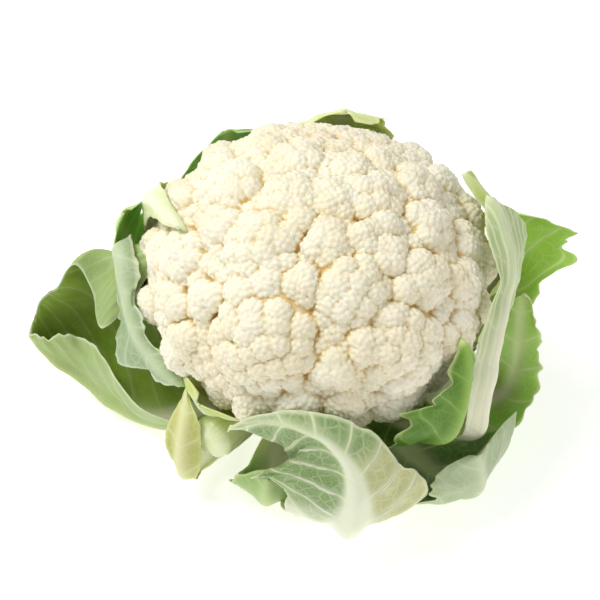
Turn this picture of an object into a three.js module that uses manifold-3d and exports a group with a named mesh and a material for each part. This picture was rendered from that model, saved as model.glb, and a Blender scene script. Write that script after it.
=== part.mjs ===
// A whole cauliflower as sold: a domed white head on a cut stalk, inside a whorl of trimmed outer leaves.
// Millimetres, +Z up. The origin is the centre of the stalk's cut face, which the vegetable stands on.
// Azimuths are degrees about +Z from +X, and the side towards -Y is the one that the photograph shows.
import * as THREE from "three";
import { mergeVertices } from "three/addons/utils/BufferGeometryUtils.js";
import Module from "manifold-3d";

const wasm = await Module();
wasm.setup();

// Driving dimensions of the head
const headRadius = 80; // widest radius, over the florets of the rim
const headRise = 62; // from the rim's plane to the crown
const headMiddle = 78; // height of the rim's plane
const headNeck = 28; // radius where the head meets the stalk
const headUnder = 34; // from the rim's plane down to the neck
const headBowl = 37; // depth of the bowl shape that the underside follows
const headFacets = 19; // divisions of each edge of the icosahedron that the head is shaped from

// Driving dimensions of the florets
const floretBulge = 1.07; // a floret's sphere against the radius that shows
const lobePitch = 11; // spacing of the lobes on a floret
const lobeRadius = 7;
const lobeSink = 5.4; // how deep a lobe's centre lies under the floret's own sphere
const coreDepth = 13; // depth of the smooth core under the florets
const backDip = 7; // how far the florets sink where a leaf looks over them from behind
const goldenAngle = Math.PI * (3 - Math.sqrt(5));

// Driving dimensions of the stalk and the leaves
const stalkFoot = 22; // radius of the cut face
const stalkGirth = 24.5;
const gap = 0.35; // clearance between pieces that touch
const lowestLeaf = 0.5; // height that the leaves keep over the ground
const bladeThickness = 1;
const ribThickness = 9; // of a leaf stalk where it leaves the stem
const ribTipThickness = 0.9;
const ribHalfWidth = 9;
const ribTipHalfWidth = 3;
const profileSteps = 24;
const foldLength = 0.14; // share of a leaf's half width that a fold takes
const stubFoot = [-13, -17, 24];
const stubEnd = [-48, -62, 39];
const stubLength = 59;
const stubRadius = 9;

const radians = (degrees) => (degrees * Math.PI) / 180;
const clamp = (x, low, high) => Math.min(high, Math.max(low, x));
const mix = (a, b, share) => a + (b - a) * share;
const vector = (list) => new THREE.Vector3(...list);

// The florets that the photograph shows, as [azimuth, tilt from the crown, radius], crown first
const seenFlorets = [
  [-36, 9, 13],
  [-164, 13, 15],
  [-113, 18, 6],
  [44, 22, 12],
  [114, 26, 15],
  [-2, 26, 17],
  [-80, 28, 13],
  [-49, 31, 11],
  [-28, 33, 7],
  [-132, 38, 20],
  [42, 40, 11],
  [166, 41, 18],
  [-164, 44, 12],
  [-44, 43, 11],
  [-98, 45, 9.5],
  [-117, 47, 9],
  [18, 47, 13],
  [-72, 50, 19],
  [-9, 50, 14],
  [-126, 54, 8],
  [-48, 55, 6],
  [-35, 58, 15],
  [-59, 62, 9],
  [-164, 63, 15],
  [-139, 63, 10],
  [-72, 68, 10],
  [-111, 70, 26],
  [-22, 73, 15],
  [-151, 73, 9],
  [-84, 74, 11],
  [-58, 77, 23],
  [-141, 81, 10],
  [-81, 88, 9],
  [-96, 90, 12],
  [-60, 97, 16],
  [-34, 84, 17],
  [-112, 96, 12],
];
const fillFlorets = 84; // golden-angle places tried between them and over the far side
const fillLimit = 107; // lowest tilt that a floret reaches, in degrees
const fillRadius = 13;

// The head's outline before its florets: a dome over a shallow bowl that is cut off at the neck
function outline(tilt) {
  const s = Math.sin(tilt);
  const c = Math.cos(tilt);
  if (c >= 0) return 1 / Math.hypot(s / headRadius, c / headRise);
  return Math.min(1 / Math.hypot(s / headRadius, c / headBowl), headUnder / -c);
}

function direction(azimuth, tilt) {
  return new THREE.Vector3(
    Math.cos(azimuth) * Math.sin(tilt),
    Math.sin(azimuth) * Math.sin(tilt),
    Math.cos(tilt),
  );
}

const dipAxis = direction(radians(80), radians(50));

function floret(azimuth, tilt, radius) {
  const axis = direction(azimuth, tilt);
  const sphere = radius * floretBulge;
  const dipped = backDip * Math.exp(-((Math.acos(clamp(axis.dot(dipAxis), -1, 1)) / radians(26)) ** 2));
  const pole = outline(tilt) + 2.2 * (radius / fillRadius - 1) - dipped;
  return { axis, sphere, centre: axis.clone().multiplyScalar(pole - sphere) };
}

// The seen florets, then the golden-angle places that none of those before covers
function makeFlorets() {
  const made = seenFlorets.map(([azimuth, tilt, radius]) => ({
    radius,
    ...floret(radians(azimuth), radians(tilt), radius),
  }));
  for (let k = 1; k < fillFlorets; k += 1) {
    const tilt = radians(fillLimit) * Math.sqrt(k / fillFlorets);
    const azimuth = k * goldenAngle;
    const radius = fillRadius * (0.84 + 0.16 * Math.sin(k * 2.3));
    const place = floret(azimuth, tilt, radius);
    const reach = (other) => Math.acos(clamp(other.axis.dot(place.axis), -1, 1)) * outline(tilt);
    const covered = made.some((other) => reach(other) < 0.82 * other.radius + 0.55 * radius);
    if (!covered) made.push({ radius, ...place });
  }
  return made;
}

// Each floret carries its lobes in a spiral, the small ones at its crown
function makeLobes(florets) {
  const lobes = [];
  florets.forEach(({ axis, sphere, centre }, index) => {
    const count = Math.max(4, Math.round((4.2 * sphere * sphere) / (lobePitch * lobePitch)));
    const side = new THREE.Vector3(axis.y, -axis.x, 0.3).cross(axis).normalize();
    const across = axis.clone().cross(side);
    for (let k = 0; k < count; k += 1) {
      const spread = radians(68) * Math.sqrt((k + 0.4) / count);
      const turn = k * goldenAngle + index;
      const way = axis
        .clone()
        .multiplyScalar(Math.cos(spread))
        .addScaledVector(side, Math.sin(spread) * Math.cos(turn))
        .addScaledVector(across, Math.sin(spread) * Math.sin(turn));
      const size = lobeRadius * (0.86 + 0.12 * Math.sin(k * 1.7 + index) + 0.16 * (spread / radians(68)));
      const middle = centre.clone().addScaledVector(way, sphere - lobeSink * (size / lobeRadius));
      lobes.push({ middle, size });
    }
  });
  return lobes;
}

// How far the head reaches from its middle along a direction
function reachOfHead(way, rounds) {
  const tilt = Math.acos(clamp(way.z, -1, 1));
  const azimuth = Math.atan2(way.y, way.x);
  const under = clamp((tilt - radians(106)) / radians(12), 0, 1);
  const branches = 2.2 * Math.abs(Math.sin(6.5 * azimuth)) * clamp((radians(146) - tilt) / radians(20), 0, 1);
  let reach = outline(tilt) - coreDepth * (1 - under) + (branches - 2.2) * under;
  for (const { middle, size } of rounds) {
    const along = middle.dot(way);
    const room = size * size - middle.lengthSq() + along * along;
    if (along > 0 && room > 0) reach = Math.max(reach, along + Math.sqrt(room));
  }
  return reach;
}

function headGeometry(swelling = 0) {
  const florets = makeFlorets();
  const rounds = florets.map(({ centre, sphere }) => ({ middle: centre, size: sphere - 0.6 }));
  rounds.push(...makeLobes(florets));
  const ball = new THREE.IcosahedronGeometry(1, headFacets);
  ball.deleteAttribute("normal");
  ball.deleteAttribute("uv");
  const geometry = mergeVertices(ball, 1e-4);
  const place = geometry.getAttribute("position");
  for (let i = 0; i < place.count; i += 1) {
    const way = new THREE.Vector3().fromBufferAttribute(place, i).normalize();
    const tilt = Math.acos(clamp(way.z, -1, 1));
    // The facets crowd onto the dome, and few are left for the hidden cone
    const crowded = tilt - 0.3 * Math.sin(tilt) * Math.sin(tilt);
    const turned = direction(Math.atan2(way.y, way.x), crowded);
    const reach = reachOfHead(turned, rounds) + swelling;
    place.setXYZ(i, turned.x * reach, turned.y * reach, headMiddle + turned.z * reach);
  }
  return geometry;
}

function stalkGeometry() {
  const top = headMiddle - headUnder - gap;
  const profile = [
    [0, 0],
    [stalkFoot - 2, 0],
    [stalkFoot, 1.5],
    [stalkGirth, 12],
    [stalkGirth, 26],
    [headNeck - 1, top - 4],
    [headNeck - 1, top],
    [0, top],
  ].map(([radius, height]) => new THREE.Vector2(radius, height));
  return new THREE.LatheGeometry(profile, 32).rotateX(Math.PI / 2);
}

// Runs smoothly through evenly spaced numbers or vectors, at a share of the way
function along(stations, share) {
  const last = stations.length - 1;
  const place = clamp(share, 0, 1) * last;
  const k = Math.min(Math.floor(place), last - 1);
  const f = place - k;
  const pick = (i) => stations[clamp(i, 0, last)];
  const blend = (a, b, c, d) =>
    0.5 * (2 * b + (c - a) * f + (2 * a - 5 * b + 4 * c - d) * f * f + (3 * b - a - 3 * c + d) * f * f * f);
  const four = [pick(k - 1), pick(k), pick(k + 1), pick(k + 2)];
  if (typeof four[0] === "number") return blend(...four);
  return four[0].map((_, axis) => blend(...four.map((point) => point[axis])));
}

// Where a leaf's half profile gets to, across its width: it starts at the lift angle, rolls evenly,
// and turns once more at the fold. Angles are measured from the side towards the leaf's upper face
function profile(half, share, u) {
  const width = Math.max(0.5, along(half.width, share));
  const lift = along(half.lift, share);
  const roll = along(half.roll, share);
  const fold = half.fold ? along(half.fold, share) : 0;
  const foldAt = half.foldAt ? along(half.foldAt, share) : 2;
  const place = { run: 0, rise: 0, width };
  for (let k = 0; k < profileSteps; k += 1) {
    const t = (u * (k + 0.5)) / profileSteps;
    const turned = clamp((t - foldAt) / foldLength + 0.5, 0, 1);
    const angle = radians(lift + roll * t + fold * turned);
    place.run += (Math.cos(angle) * width * u) / profileSteps;
    place.rise += (Math.sin(angle) * width * u) / profileSteps;
  }
  return place;
}

// A point of a leaf's upper face: share runs from the leaf's foot to its tip, and across from -1
// at the left margin to 1 at the right one
function leafPoint(leaf, share, across) {
  const step = 0.02;
  const growth = vector(along(leaf.rib, share + step)).sub(vector(along(leaf.rib, share - step)));
  const face = vector(along(leaf.face, share)).normalize();
  const hand = across < 0 ? -1 : 1;
  const outwards = growth.cross(face).normalize().multiplyScalar(hand);
  const u = Math.abs(across);
  const { run, rise, width } = profile(across < 0 ? leaf.left : leaf.right, share, u);
  const grown = clamp(3 * share - 0.8, 0, 1) * u * u;
  const tooth = leaf.teeth * width * Math.sin(2 * Math.PI * leaf.toothCount * share + hand) * grown;
  const wave = leaf.wave * Math.sin(2 * Math.PI * leaf.waveCount * share + 1.7 * hand) * grown;
  const point = vector(along(leaf.rib, share));
  point.addScaledVector(outwards, run * (1 + tooth / width) + wave * Math.min(1, rise / width));
  return point.addScaledVector(face, rise * (1 + tooth / width) + wave * Math.max(0, run / width));
}

// The directions lengthways and away from the upper face
function leafDirections(leaf, share, across) {
  const step = 0.01;
  const lengthways = leafPoint(leaf, Math.min(1, share + step), across);
  lengthways.sub(leafPoint(leaf, Math.max(0, share - step), across));
  const sideways = leafPoint(leaf, share, Math.min(1, across + step));
  sideways.sub(leafPoint(leaf, share, Math.max(-1, across - step)));
  return { normal: sideways.cross(lengthways).normalize(), lengthways: lengthways.normalize() };
}

// The rib's depth under the blade, at a distance from its middle
function ribDepth(leaf, share, distance) {
  const half = mix(ribHalfWidth, ribTipHalfWidth, Math.sqrt(share));
  const depth = mix(ribThickness, ribTipThickness, share ** 0.7) * leaf.ribScale;
  const near = clamp(1 - distance / (1.6 * half), 0, 1);
  return depth * near * near * (3 - 2 * near);
}

// The closed solid of a leaf: an upper face, a lower face one blade below it, and the rib under both.
// A swollen leaf is thicker by the clearance on all sides, and cuts away whatever comes too close
function leafGeometry(leaf, swelling = 0) {
  const [leftColumns, rightColumns] = leaf.columns;
  const wide = leftColumns + rightColumns + 1;
  const upper = [];
  const lower = [];
  for (let i = 0; i <= leaf.rows; i += 1) {
    for (let j = -leftColumns; j <= rightColumns; j += 1) {
      const share = i / leaf.rows;
      const width = Math.max(0.5, along((j < 0 ? leaf.left : leaf.right).width, share));
      let u = j < 0 ? -((-j / leftColumns) ** 1.2) : (j / rightColumns) ** 1.2;
      const { normal, lengthways } = leafDirections(leaf, share, u);
      if (Math.abs(u) === 1) u *= 1 + swelling / width;
      const point = leafPoint(leaf, share, u);
      if (i === 0) point.addScaledVector(lengthways, -swelling);
      if (i === leaf.rows) point.addScaledVector(lengthways, swelling);
      const depth = bladeThickness + ribDepth(leaf, share, Math.abs(u) * width);
      upper.push(point.clone().addScaledVector(normal, swelling));
      lower.push(point.addScaledVector(normal, -depth - swelling));
    }
  }
  const under = upper.length;
  const at = (i, j) => i * wide + j;
  const faces = [];
  const quad = (a, b, c, d) => faces.push(a, b, c, a, c, d);
  for (let i = 0; i < leaf.rows; i += 1) {
    for (let j = 0; j < wide - 1; j += 1) {
      const [a, b, c, d] = [at(i, j), at(i, j + 1), at(i + 1, j + 1), at(i + 1, j)];
      quad(a, b, c, d);
      faces.push(under + a, under + c, under + b, under + a, under + d, under + c);
    }
    quad(at(i + 1, 0), under + at(i + 1, 0), under + at(i, 0), at(i, 0));
    quad(at(i, wide - 1), under + at(i, wide - 1), under + at(i + 1, wide - 1), at(i + 1, wide - 1));
  }
  for (let j = 0; j < wide - 1; j += 1) {
    quad(at(0, j), under + at(0, j), under + at(0, j + 1), at(0, j + 1));
    const row = leaf.rows;
    quad(at(row, j + 1), under + at(row, j + 1), under + at(row, j), at(row, j));
  }
  const geometry = new THREE.BufferGeometry();
  const places = [...upper, ...lower].flatMap((point) => point.toArray());
  geometry.setAttribute("position", new THREE.Float32BufferAttribute(places, 3));
  geometry.setIndex(faces);
  return geometry;
}

// A leaf stalk cut off short
function stubGeometry(swelling = 0) {
  const outline = [
    [0, 0],
    [stubRadius - 1, 0],
    [stubRadius, stubLength * 0.4],
    [stubRadius + 1, stubLength - 5],
    [stubRadius - 1, stubLength - 1],
    [stubRadius - 4, stubLength],
    [0, stubLength],
  ].map(([radius, height]) => new THREE.Vector2(radius && radius + swelling, height));
  const bar = new THREE.LatheGeometry(outline, 20);
  const growth = vector(stubEnd).sub(vector(stubFoot)).normalize();
  const turn = new THREE.Quaternion().setFromUnitVectors(new THREE.Vector3(0, 1, 0), growth);
  return bar.applyQuaternion(turn).translate(...stubFoot);
}

function solidOf(geometry) {
  const bare = geometry.clone();
  bare.deleteAttribute("normal");
  bare.deleteAttribute("uv");
  const merged = mergeVertices(bare, 1e-3);
  return new wasm.Manifold(
    new wasm.Mesh({
      numProp: 3,
      vertProperties: merged.attributes.position.array,
      triVerts: new Uint32Array(merged.index.array),
    }),
  );
}

function geometryOf(solid) {
  const mesh = solid.getMesh();
  const geometry = new THREE.BufferGeometry();
  geometry.setAttribute("position", new THREE.BufferAttribute(mesh.vertProperties, 3));
  geometry.setIndex(new THREE.BufferAttribute(mesh.triVerts, 1));
  return geometry;
}

// The largest of the pieces that trimming left, since a leaf is one piece
function largest(solid) {
  const pieces = solid.decompose();
  return pieces.reduce((best, piece) => (piece.volume() > best.volume() ? piece : best));
}

const plainLeaf = {
  rows: 9,
  columns: [3, 3],
  teeth: 0.06,
  toothCount: 5,
  wave: 2,
  waveCount: 2,
  ribScale: 1,
};

// The leaves from the inmost to the outmost, each with its rib's course, the way its upper face looks,
// and the width, first angle and roll of its two halves, at even stations from its foot to its tip
const leaves = {
  leaf_left_flap: {
    colour: "#a9c79c",
    rows: 22,
    columns: [2, 2],
    teeth: 0.22,
    toothCount: 7,
    rib: [
      [-16, -1, 34], [-46, 0, 38], [-70, 6, 50], [-84, 11, 70], [-86, 6, 87], [-83, -9, 80],
      [-79, -26, 70], [-69, -39, 62], [-60, -45, 56],
    ],
    face: [
      [0, 0, 1], [0.2, 0, 1], [0.8, 0, 0.5], [1, 0, 0.2], [0.8, 0.1, -0.5], [0.6, 0.1, -0.7],
      [0.6, 0.3, -0.6], [0.6, 0.4, -0.7], [0.6, 0.5, -0.7],
    ],
    left: { width: [7, 10, 12, 10, 7, 6, 17, 6, 3], lift: [0], roll: [5, 20, 30, 30, 20, 20, 15, 20, 10] },
    right: { width: [7, 10, 12, 10, 7, 6, 6, 5, 3], lift: [0], roll: [5, 20, 30, 30, 20, 20, 20, 20, 10] },
  },
  leaf_left_rim: {
    colour: "#c3cf7a",
    rib: [[-9, -13, 34], [-24, -31, 40], [-37, -46, 47], [-46, -57, 57], [-50, -62, 68]],
    face: [[0, 0, 1], [0, 0, 1], [0.4, 0.5, 1], [0.65, 0.75, 0.2], [0.65, 0.75, 0]],
    left: { width: [7, 11, 16, 22, 16], lift: [0], roll: [5, 10, 25, 35, 35] },
    right: { width: [7, 11, 16, 20, 14], lift: [0], roll: [5, 10, 25, 35, 35] },
  },
  leaf_right_torn: {
    colour: "#7fb04a",
    rows: 20,
    toothCount: 8,
    teeth: 0.2,
    rib: [
      [9, -13, 34], [24, -36, 37], [41, -57, 43], [54, -68, 54], [60, -66, 67], [63, -59, 80],
      [63, -49, 92],
    ],
    face: [
      [0, 0, 1], [0, 0, 1], [-0.3, 0.4, 1], [-0.6, 0.8, 0.3], [-0.6, 0.8, 0], [-0.6, 0.8, -0.2],
      [-0.6, 0.8, -0.3],
    ],
    right: { width: [7, 12, 18, 24, 22, 10, 3], lift: [0], roll: [5, 15, 20, 30, 35, 20, 10] },
    left: { width: [7, 12, 14, 12, 9, 6, 3], lift: [0], roll: [5, 20, 30, 30, 30, 20, 10] },
  },
  leaf_right_point: {
    colour: "#b7cc63",
    rows: 12,
    columns: [3, 3],
    rib: [[14, 1, 34], [40, 4, 40], [66, 6, 52], [81, 8, 70], [83, 10, 88], [77, 16, 104], [65, 24, 119]],
    face: [
      [0, 0, 1], [-0.2, 0, 1], [-0.8, 0, 0.6], [-1, 0, 0.2], [-1, 0, -0.2], [-0.9, 0, -0.4],
      [-0.9, 0, -0.5],
    ],
    right: { width: [7, 8, 9, 10, 10, 8, 2], lift: [0], roll: [5, 10, 10, 20, 20, 20, 10] },
    left: { width: [7, 8, 10, 12, 12, 9, 2], lift: [0], roll: [5, 10, 10, 20, 20, 20, 10] },
  },
  leaf_back_frill: {
    colour: "#b9d07a",
    rows: 13,
    toothCount: 8,
    wave: 3,
    waveCount: 4,
    rib: [[1, 16, 34], [3, 42, 38], [7, 66, 47], [10, 81, 64], [11, 84, 83], [12, 79, 99], [14, 66, 112]],
    face: [[0, 0, 1], [0, -0.1, 1], [0, -0.6, 1], [0, -1, 0.3], [0, -1, 0], [0, -1, -0.3], [0, -0.8, -1]],
    right: { width: [7, 12, 20, 26, 28, 22, 16], lift: [0], roll: [5, 15, 30, 35, 35, 30, 20] },
    left: { width: [7, 12, 20, 26, 28, 20, 12], lift: [0], roll: [5, 15, 30, 35, 35, 30, 20] },
  },
  leaf_far_left_tip: {
    colour: "#dbe6b4",
    rows: 12,
    rib: [
      [-14, 8, 34], [-38, 22, 39], [-60, 36, 50], [-73, 41, 69], [-75, 33, 91], [-70, 14, 110],
      [-58, -12, 121],
    ],
    face: [
      [0, 0, 1], [0, 0, 1], [0.5, -0.3, 1], [0.9, -0.5, 0.3], [0.9, -0.3, -0.3], [0.8, -0.1, -0.7],
      [0.6, 0.1, -0.8],
    ],
    right: { width: [7, 11, 15, 16, 11, 6, 2], lift: [0], roll: [5, 15, 20, 30, 30, 20, 10] },
    left: { width: [7, 11, 15, 16, 11, 6, 2], lift: [0], roll: [5, 15, 20, 30, 30, 20, 10] },
  },
  leaf_right_tall: {
    colour: "#c4d6ac",
    rows: 17,
    teeth: 0.02,
    rib: [
      [13, -9, 34], [36, -29, 34], [56, -47, 34], [68, -56, 42], [71, -51, 58], [74, -42, 74],
      [78, -31, 88], [82, -18, 100], [80, -4, 111], [75, 8, 120],
    ],
    face: [
      [0, 0, 1], [0, 0, 1], [-0.4, 0.4, 1], [-0.7, 0.7, 0.5], [-0.8, 0.6, 0], [-0.8, 0.6, 0],
      [-0.75, 0.6, -0.1], [-0.7, 0.65, -0.2], [-0.7, 0.7, -0.2], [-0.7, 0.7, -0.2],
    ],
    right: {
      width: [7, 9, 9, 8, 10, 12, 11, 10, 10, 3],
      lift: [0],
      roll: [5, 10, 10, 10, 10, 10, 10, 10, 10, 10],
    },
    left: {
      width: [7, 9, 9, 8, 8, 9, 11, 15, 16, 4],
      lift: [0],
      roll: [5, 10, 10, 10, 10, 10, 10, 10, 10, 10],
    },
  },
  leaf_far_left: {
    colour: "#5f9436",
    rib: [[-15, 6, 22], [-44, 20, 20], [-71, 32, 29], [-86, 36, 50], [-89, 32, 73], [-85, 25, 92]],
    face: [[0, 0, 1], [0, 0, 1], [0.4, -0.2, 1], [0.9, -0.4, 0.3], [0.9, -0.4, 0], [0.9, -0.4, -0.2]],
    right: { width: [7, 12, 18, 20, 17, 8], lift: [0], roll: [5, 15, 25, 30, 30, 20] },
    left: { width: [7, 12, 15, 17, 16, 8], lift: [0], roll: [5, 15, 25, 30, 30, 20] },
  },
  leaf_back: {
    colour: "#7ea65a",
    rib: [[5, 15, 22], [12, 46, 18], [20, 76, 25], [25, 89, 45], [25, 88, 66], [22, 82, 82]],
    face: [[0, 0, 1], [0, 0, 1], [0, -0.4, 1], [-0.2, -1, 0.3], [-0.2, -1, 0], [-0.2, -1, -0.2]],
    right: { width: [7, 14, 22, 26, 22, 8], lift: [0], roll: [5, 15, 25, 35, 35, 25] },
    left: { width: [7, 14, 22, 26, 22, 8], lift: [0], roll: [5, 15, 25, 35, 35, 25] },
  },
  leaf_right_flag: {
    colour: "#8fbf45",
    rows: 17,
    teeth: 0.13,
    toothCount: 8,
    rib: [[15, 5, 22], [46, 8, 20], [72, 9, 30], [85, 10, 54], [85, 14, 77], [84, 20, 97]],
    face: [[0, 0, 1], [0, 0, 1], [-0.5, -0.1, 1], [-0.8, -0.5, 0.3], [0, -0.9, 0.4], [0, -0.9, 0.4]],
    right: { width: [7, 10, 12, 12, 29, 22], lift: [0], roll: [5, 10, 10, 10, 10, 10] },
    left: { width: [7, 10, 14, 14, 7, 4], lift: [0], roll: [5, 15, 25, 20, 10, 10] },
  },
  leaf_right_veined: {
    colour: "#6f9e4e",
    rib: [
      [15, -5, 22], [44, -14, 18], [70, -22, 18], [84, -27, 27], [89, -25, 43], [90, -19, 60],
      [90, -11, 77],
    ],
    face: [
      [0, 0, 1], [0, 0, 1], [-0.4, -0.2, 1], [-0.5, -0.7, 0.6], [-0.3, -0.9, 0.3],
      [-0.2, -0.9, 0.3], [-0.2, -0.9, 0.3],
    ],
    right: { width: [7, 13, 17, 15, 12, 9, 5], lift: [0], roll: [5, 15, 15, 20, 20, 20, 20] },
    left: { width: [7, 13, 18, 18, 14, 9, 5], lift: [0], roll: [5, 15, 20, 20, 20, 20, 20] },
  },
  leaf_left_drop: {
    colour: "#c9cf7c",
    rows: 10,
    columns: [3, 3],
    rib: [[-12, -15, 22], [-35, -37, 15], [-54, -53, 12], [-59, -65, 20], [-59, -61, 38], [-55, -48, 57]],
    face: [[0, 0, 1], [0, 0, 1], [0.3, 0.4, 1], [0.5, 0.8, 0.2], [0.5, 0.8, -0.1], [0.5, 0.8, -0.3]],
    right: { width: [7, 5, 5, 7, 9, 2.5], lift: [0], roll: [5, 5, 10, 20, 20, 10] },
    left: { width: [7, 5, 5, 7, 8, 2.5], lift: [0], roll: [5, 5, 10, 20, 20, 10] },
  },
  leaf_front_low: {
    colour: "#7fa65c",
    rib: [[-7, -16, 10], [-13, -42, 8.5], [-19, -63, 8.5], [-22, -74, 13], [-22, -77, 23], [-21, -76, 32]],
    face: [[0, 0, 1], [0, 0, 1], [0, 0.4, 1], [0.2, 1, 0.5], [0.2, 1, 0.1], [0.2, 1, 0]],
    left: { width: [8, 12, 20, 26, 24, 8], lift: [0], roll: [5, 10, 20, 20, 20, 20] },
    right: { width: [8, 12, 15, 18, 16, 5], lift: [0], roll: [5, 10, 20, 25, 25, 10] },
  },
  leaf_right_low: {
    colour: "#dbe0bf",
    rib: [[11, -12, 10], [32, -35, 8.5], [52, -57, 8.5], [66, -71, 14], [71, -74, 28], [69, -71, 41]],
    face: [[0, 0, 1], [0, 0, 1], [-0.3, 0.3, 1], [-0.7, 0.7, 0.4], [-0.7, 0.7, 0.1], [-0.7, 0.7, 0]],
    right: { width: [8, 14, 20, 25, 24, 18], lift: [0], roll: [5, 15, 30, 45, 45, 40] },
    left: { width: [8, 15, 28, 38, 38, 26], lift: [0], roll: [5, 10, 20, 30, 30, 30] },
  },
  leaf_left: {
    colour: "#9fb57c",
    rows: 14,
    columns: [4, 8],
    wave: 1.5,
    rib: [
      [-16, 0, 10], [-45, -19, 9], [-72, -27, 9], [-94, -18, 10], [-107, -10, 14], [-118, -6, 23],
      [-126, -5, 33], [-131, -6, 42],
    ],
    face: [[0, 0, 1], [0, 0, 1], [0, 0, 1], [0, 0, 1], [0, 0, 1], [0, 0, 1], [0, 0, 1], [0.2, 0, 1]],
    left: {
      width: [9, 18, 25, 31, 30, 23, 13, 3],
      lift: [0, 5, 30, 68, 76, 74, 66, 60],
      roll: [5, 40, 50, 36, 32, 26, 20, 10],
    },
    right: {
      width: [9, 34, 76, 125, 92, 50, 23, 3],
      lift: [0, 5, 30, 40, 42, 52, 60, 60],
      roll: [5, 40, 60, 70, 60, 50, 40, 10],
      fold: [130],
      foldAt: [1.2, 1.2, 1.1, 0.69, 0.8, 1.1, 1.2, 1.2],
    },
  },
  leaf_front: {
    colour: "#86a874",
    rows: 15,
    columns: [4, 5],
    rib: [
      [2, -16, 10], [6, -48, 8.5], [10, -77, 8], [14, -94, 21], [17, -96, 42], [14, -91, 63],
      [2, -85, 78], [-18, -80, 80], [-37, -78, 71],
    ],
    face: [
      [0, 0, 1], [0, 0.1, 1], [0, 0.6, 1], [0, 1, 0.4], [0, 1, 0], [0, 1, 0.1], [0, 1, 0.1],
      [0, 1, 0], [0.2, 1, 0],
    ],
    left: { width: [9, 18, 29, 35, 32, 18, 9, 4, 3], lift: [0], roll: [5, 15, 30, 45, 45, 30, 20, 10, 10] },
    right: { width: [9, 18, 27, 29, 31, 43, 38, 30, 3], lift: [0], roll: [5, 15, 25, 25, 15, 10, 5, 5, 5] },
  },
  leaf_back_left: {
    colour: "#5f9436",
    rows: 12,
    teeth: 0.14,
    toothCount: 6,
    rib: [
      [-9, 13, 10], [-25, 40, 8.5], [-40, 66, 11], [-46, 80, 28], [-47, 82, 50], [-44, 79, 72],
      [-41, 74, 93],
    ],
    face: [
      [0, 0, 1], [0, 0, 1], [0.2, -0.4, 1], [0.5, -0.85, 0.3], [0.5, -0.85, 0], [0.5, -0.85, -0.2],
      [0.5, -0.85, -0.3],
    ],
    right: { width: [8, 16, 24, 28, 30, 28, 20], lift: [0], roll: [5, 15, 25, 35, 40, 40, 30] },
    left: { width: [8, 16, 24, 28, 30, 28, 22], lift: [0], roll: [5, 15, 25, 35, 40, 40, 30] },
  },
  leaf_back_right: {
    colour: "#7ba556",
    rib: [[12, 11, 10], [34, 34, 8.5], [54, 56, 10], [67, 69, 24], [70, 70, 40], [66, 65, 56]],
    face: [[0, 0, 1], [0, 0, 1], [-0.3, -0.3, 1], [-0.7, -0.7, 0.3], [-0.7, -0.7, 0], [-0.7, -0.7, -0.2]],
    right: { width: [8, 16, 26, 32, 28, 10], lift: [0], roll: [5, 15, 25, 35, 35, 25] },
    left: { width: [8, 16, 26, 32, 28, 10], lift: [0], roll: [5, 15, 25, 35, 35, 25] },
  },
};

function material(colour, roughness) {
  return new THREE.MeshStandardMaterial({ color: colour, roughness, metalness: 0 });
}

function node(name, geometry, finish) {
  const mesh = new THREE.Mesh(geometry, finish);
  mesh.name = name;
  return mesh;
}

const cauliflower = new THREE.Group();
cauliflower.add(node("head", headGeometry(), material("#f2ead2", 0.75)));
cauliflower.add(node("stalk", stalkGeometry(), material("#dfe3bd", 0.6)));

// Each piece is trimmed clear of the stalk, the head and the leaves inside it
const guardRadius = headNeck + gap;
const neckGuard = new THREE.CylinderGeometry(guardRadius, guardRadius, 2 * (headMiddle - headUnder), 32);
neckGuard.rotateX(Math.PI / 2);
const keptClear = [
  solidOf(new THREE.BoxGeometry(400, 400, 20).translate(0, 0, lowestLeaf - 10)),
  solidOf(neckGuard),
  solidOf(headGeometry(gap)),
];
function trimmed(plain, swollen) {
  const solid = keptClear.reduce((left, other) => left.subtract(other), solidOf(plain));
  keptClear.push(solidOf(swollen));
  return geometryOf(largest(solid));
}

cauliflower.add(node("leaf_stub", trimmed(stubGeometry(), stubGeometry(gap)), material("#dfe8b4", 0.35)));
for (const [name, shape] of Object.entries(leaves)) {
  const leaf = { ...plainLeaf, ...shape };
  const geometry = trimmed(leafGeometry(leaf), leafGeometry(leaf, gap));
  cauliflower.add(node(name, geometry, material(leaf.colour, 0.5)));
}

export default cauliflower;
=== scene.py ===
import math

import bpy
import numpy as np
from mathutils import Matrix, Vector
from mathutils.kdtree import KDTree


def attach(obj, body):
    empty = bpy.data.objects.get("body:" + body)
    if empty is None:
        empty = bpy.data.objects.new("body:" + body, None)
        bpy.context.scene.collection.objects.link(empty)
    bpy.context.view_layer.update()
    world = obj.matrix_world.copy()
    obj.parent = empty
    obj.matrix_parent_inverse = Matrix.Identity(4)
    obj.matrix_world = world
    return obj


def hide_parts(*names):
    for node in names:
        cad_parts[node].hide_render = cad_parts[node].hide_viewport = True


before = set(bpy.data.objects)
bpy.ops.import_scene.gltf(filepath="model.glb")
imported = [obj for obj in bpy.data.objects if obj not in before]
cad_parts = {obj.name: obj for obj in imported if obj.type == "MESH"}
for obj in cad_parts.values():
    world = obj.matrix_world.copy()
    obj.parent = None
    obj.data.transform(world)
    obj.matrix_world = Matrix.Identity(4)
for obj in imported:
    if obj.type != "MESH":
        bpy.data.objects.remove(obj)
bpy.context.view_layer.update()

# A whole cauliflower on its cut stalk. Shapes are worked out in millimetres and made into meshes in metres
millimetre = 0.001
goldenAngle = math.pi * (3 - math.sqrt(5))
anyTurn = (0, 6.28)  # range of the random turns
scene = bpy.context.scene


# Small helpers

def smooth(x):
    x = np.clip(x, 0, 1)
    return x * x * (3 - 2 * x)


def unit(vectors):
    return vectors / np.maximum(np.linalg.norm(vectors, axis=-1, keepdims=True), 1e-9)


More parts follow.
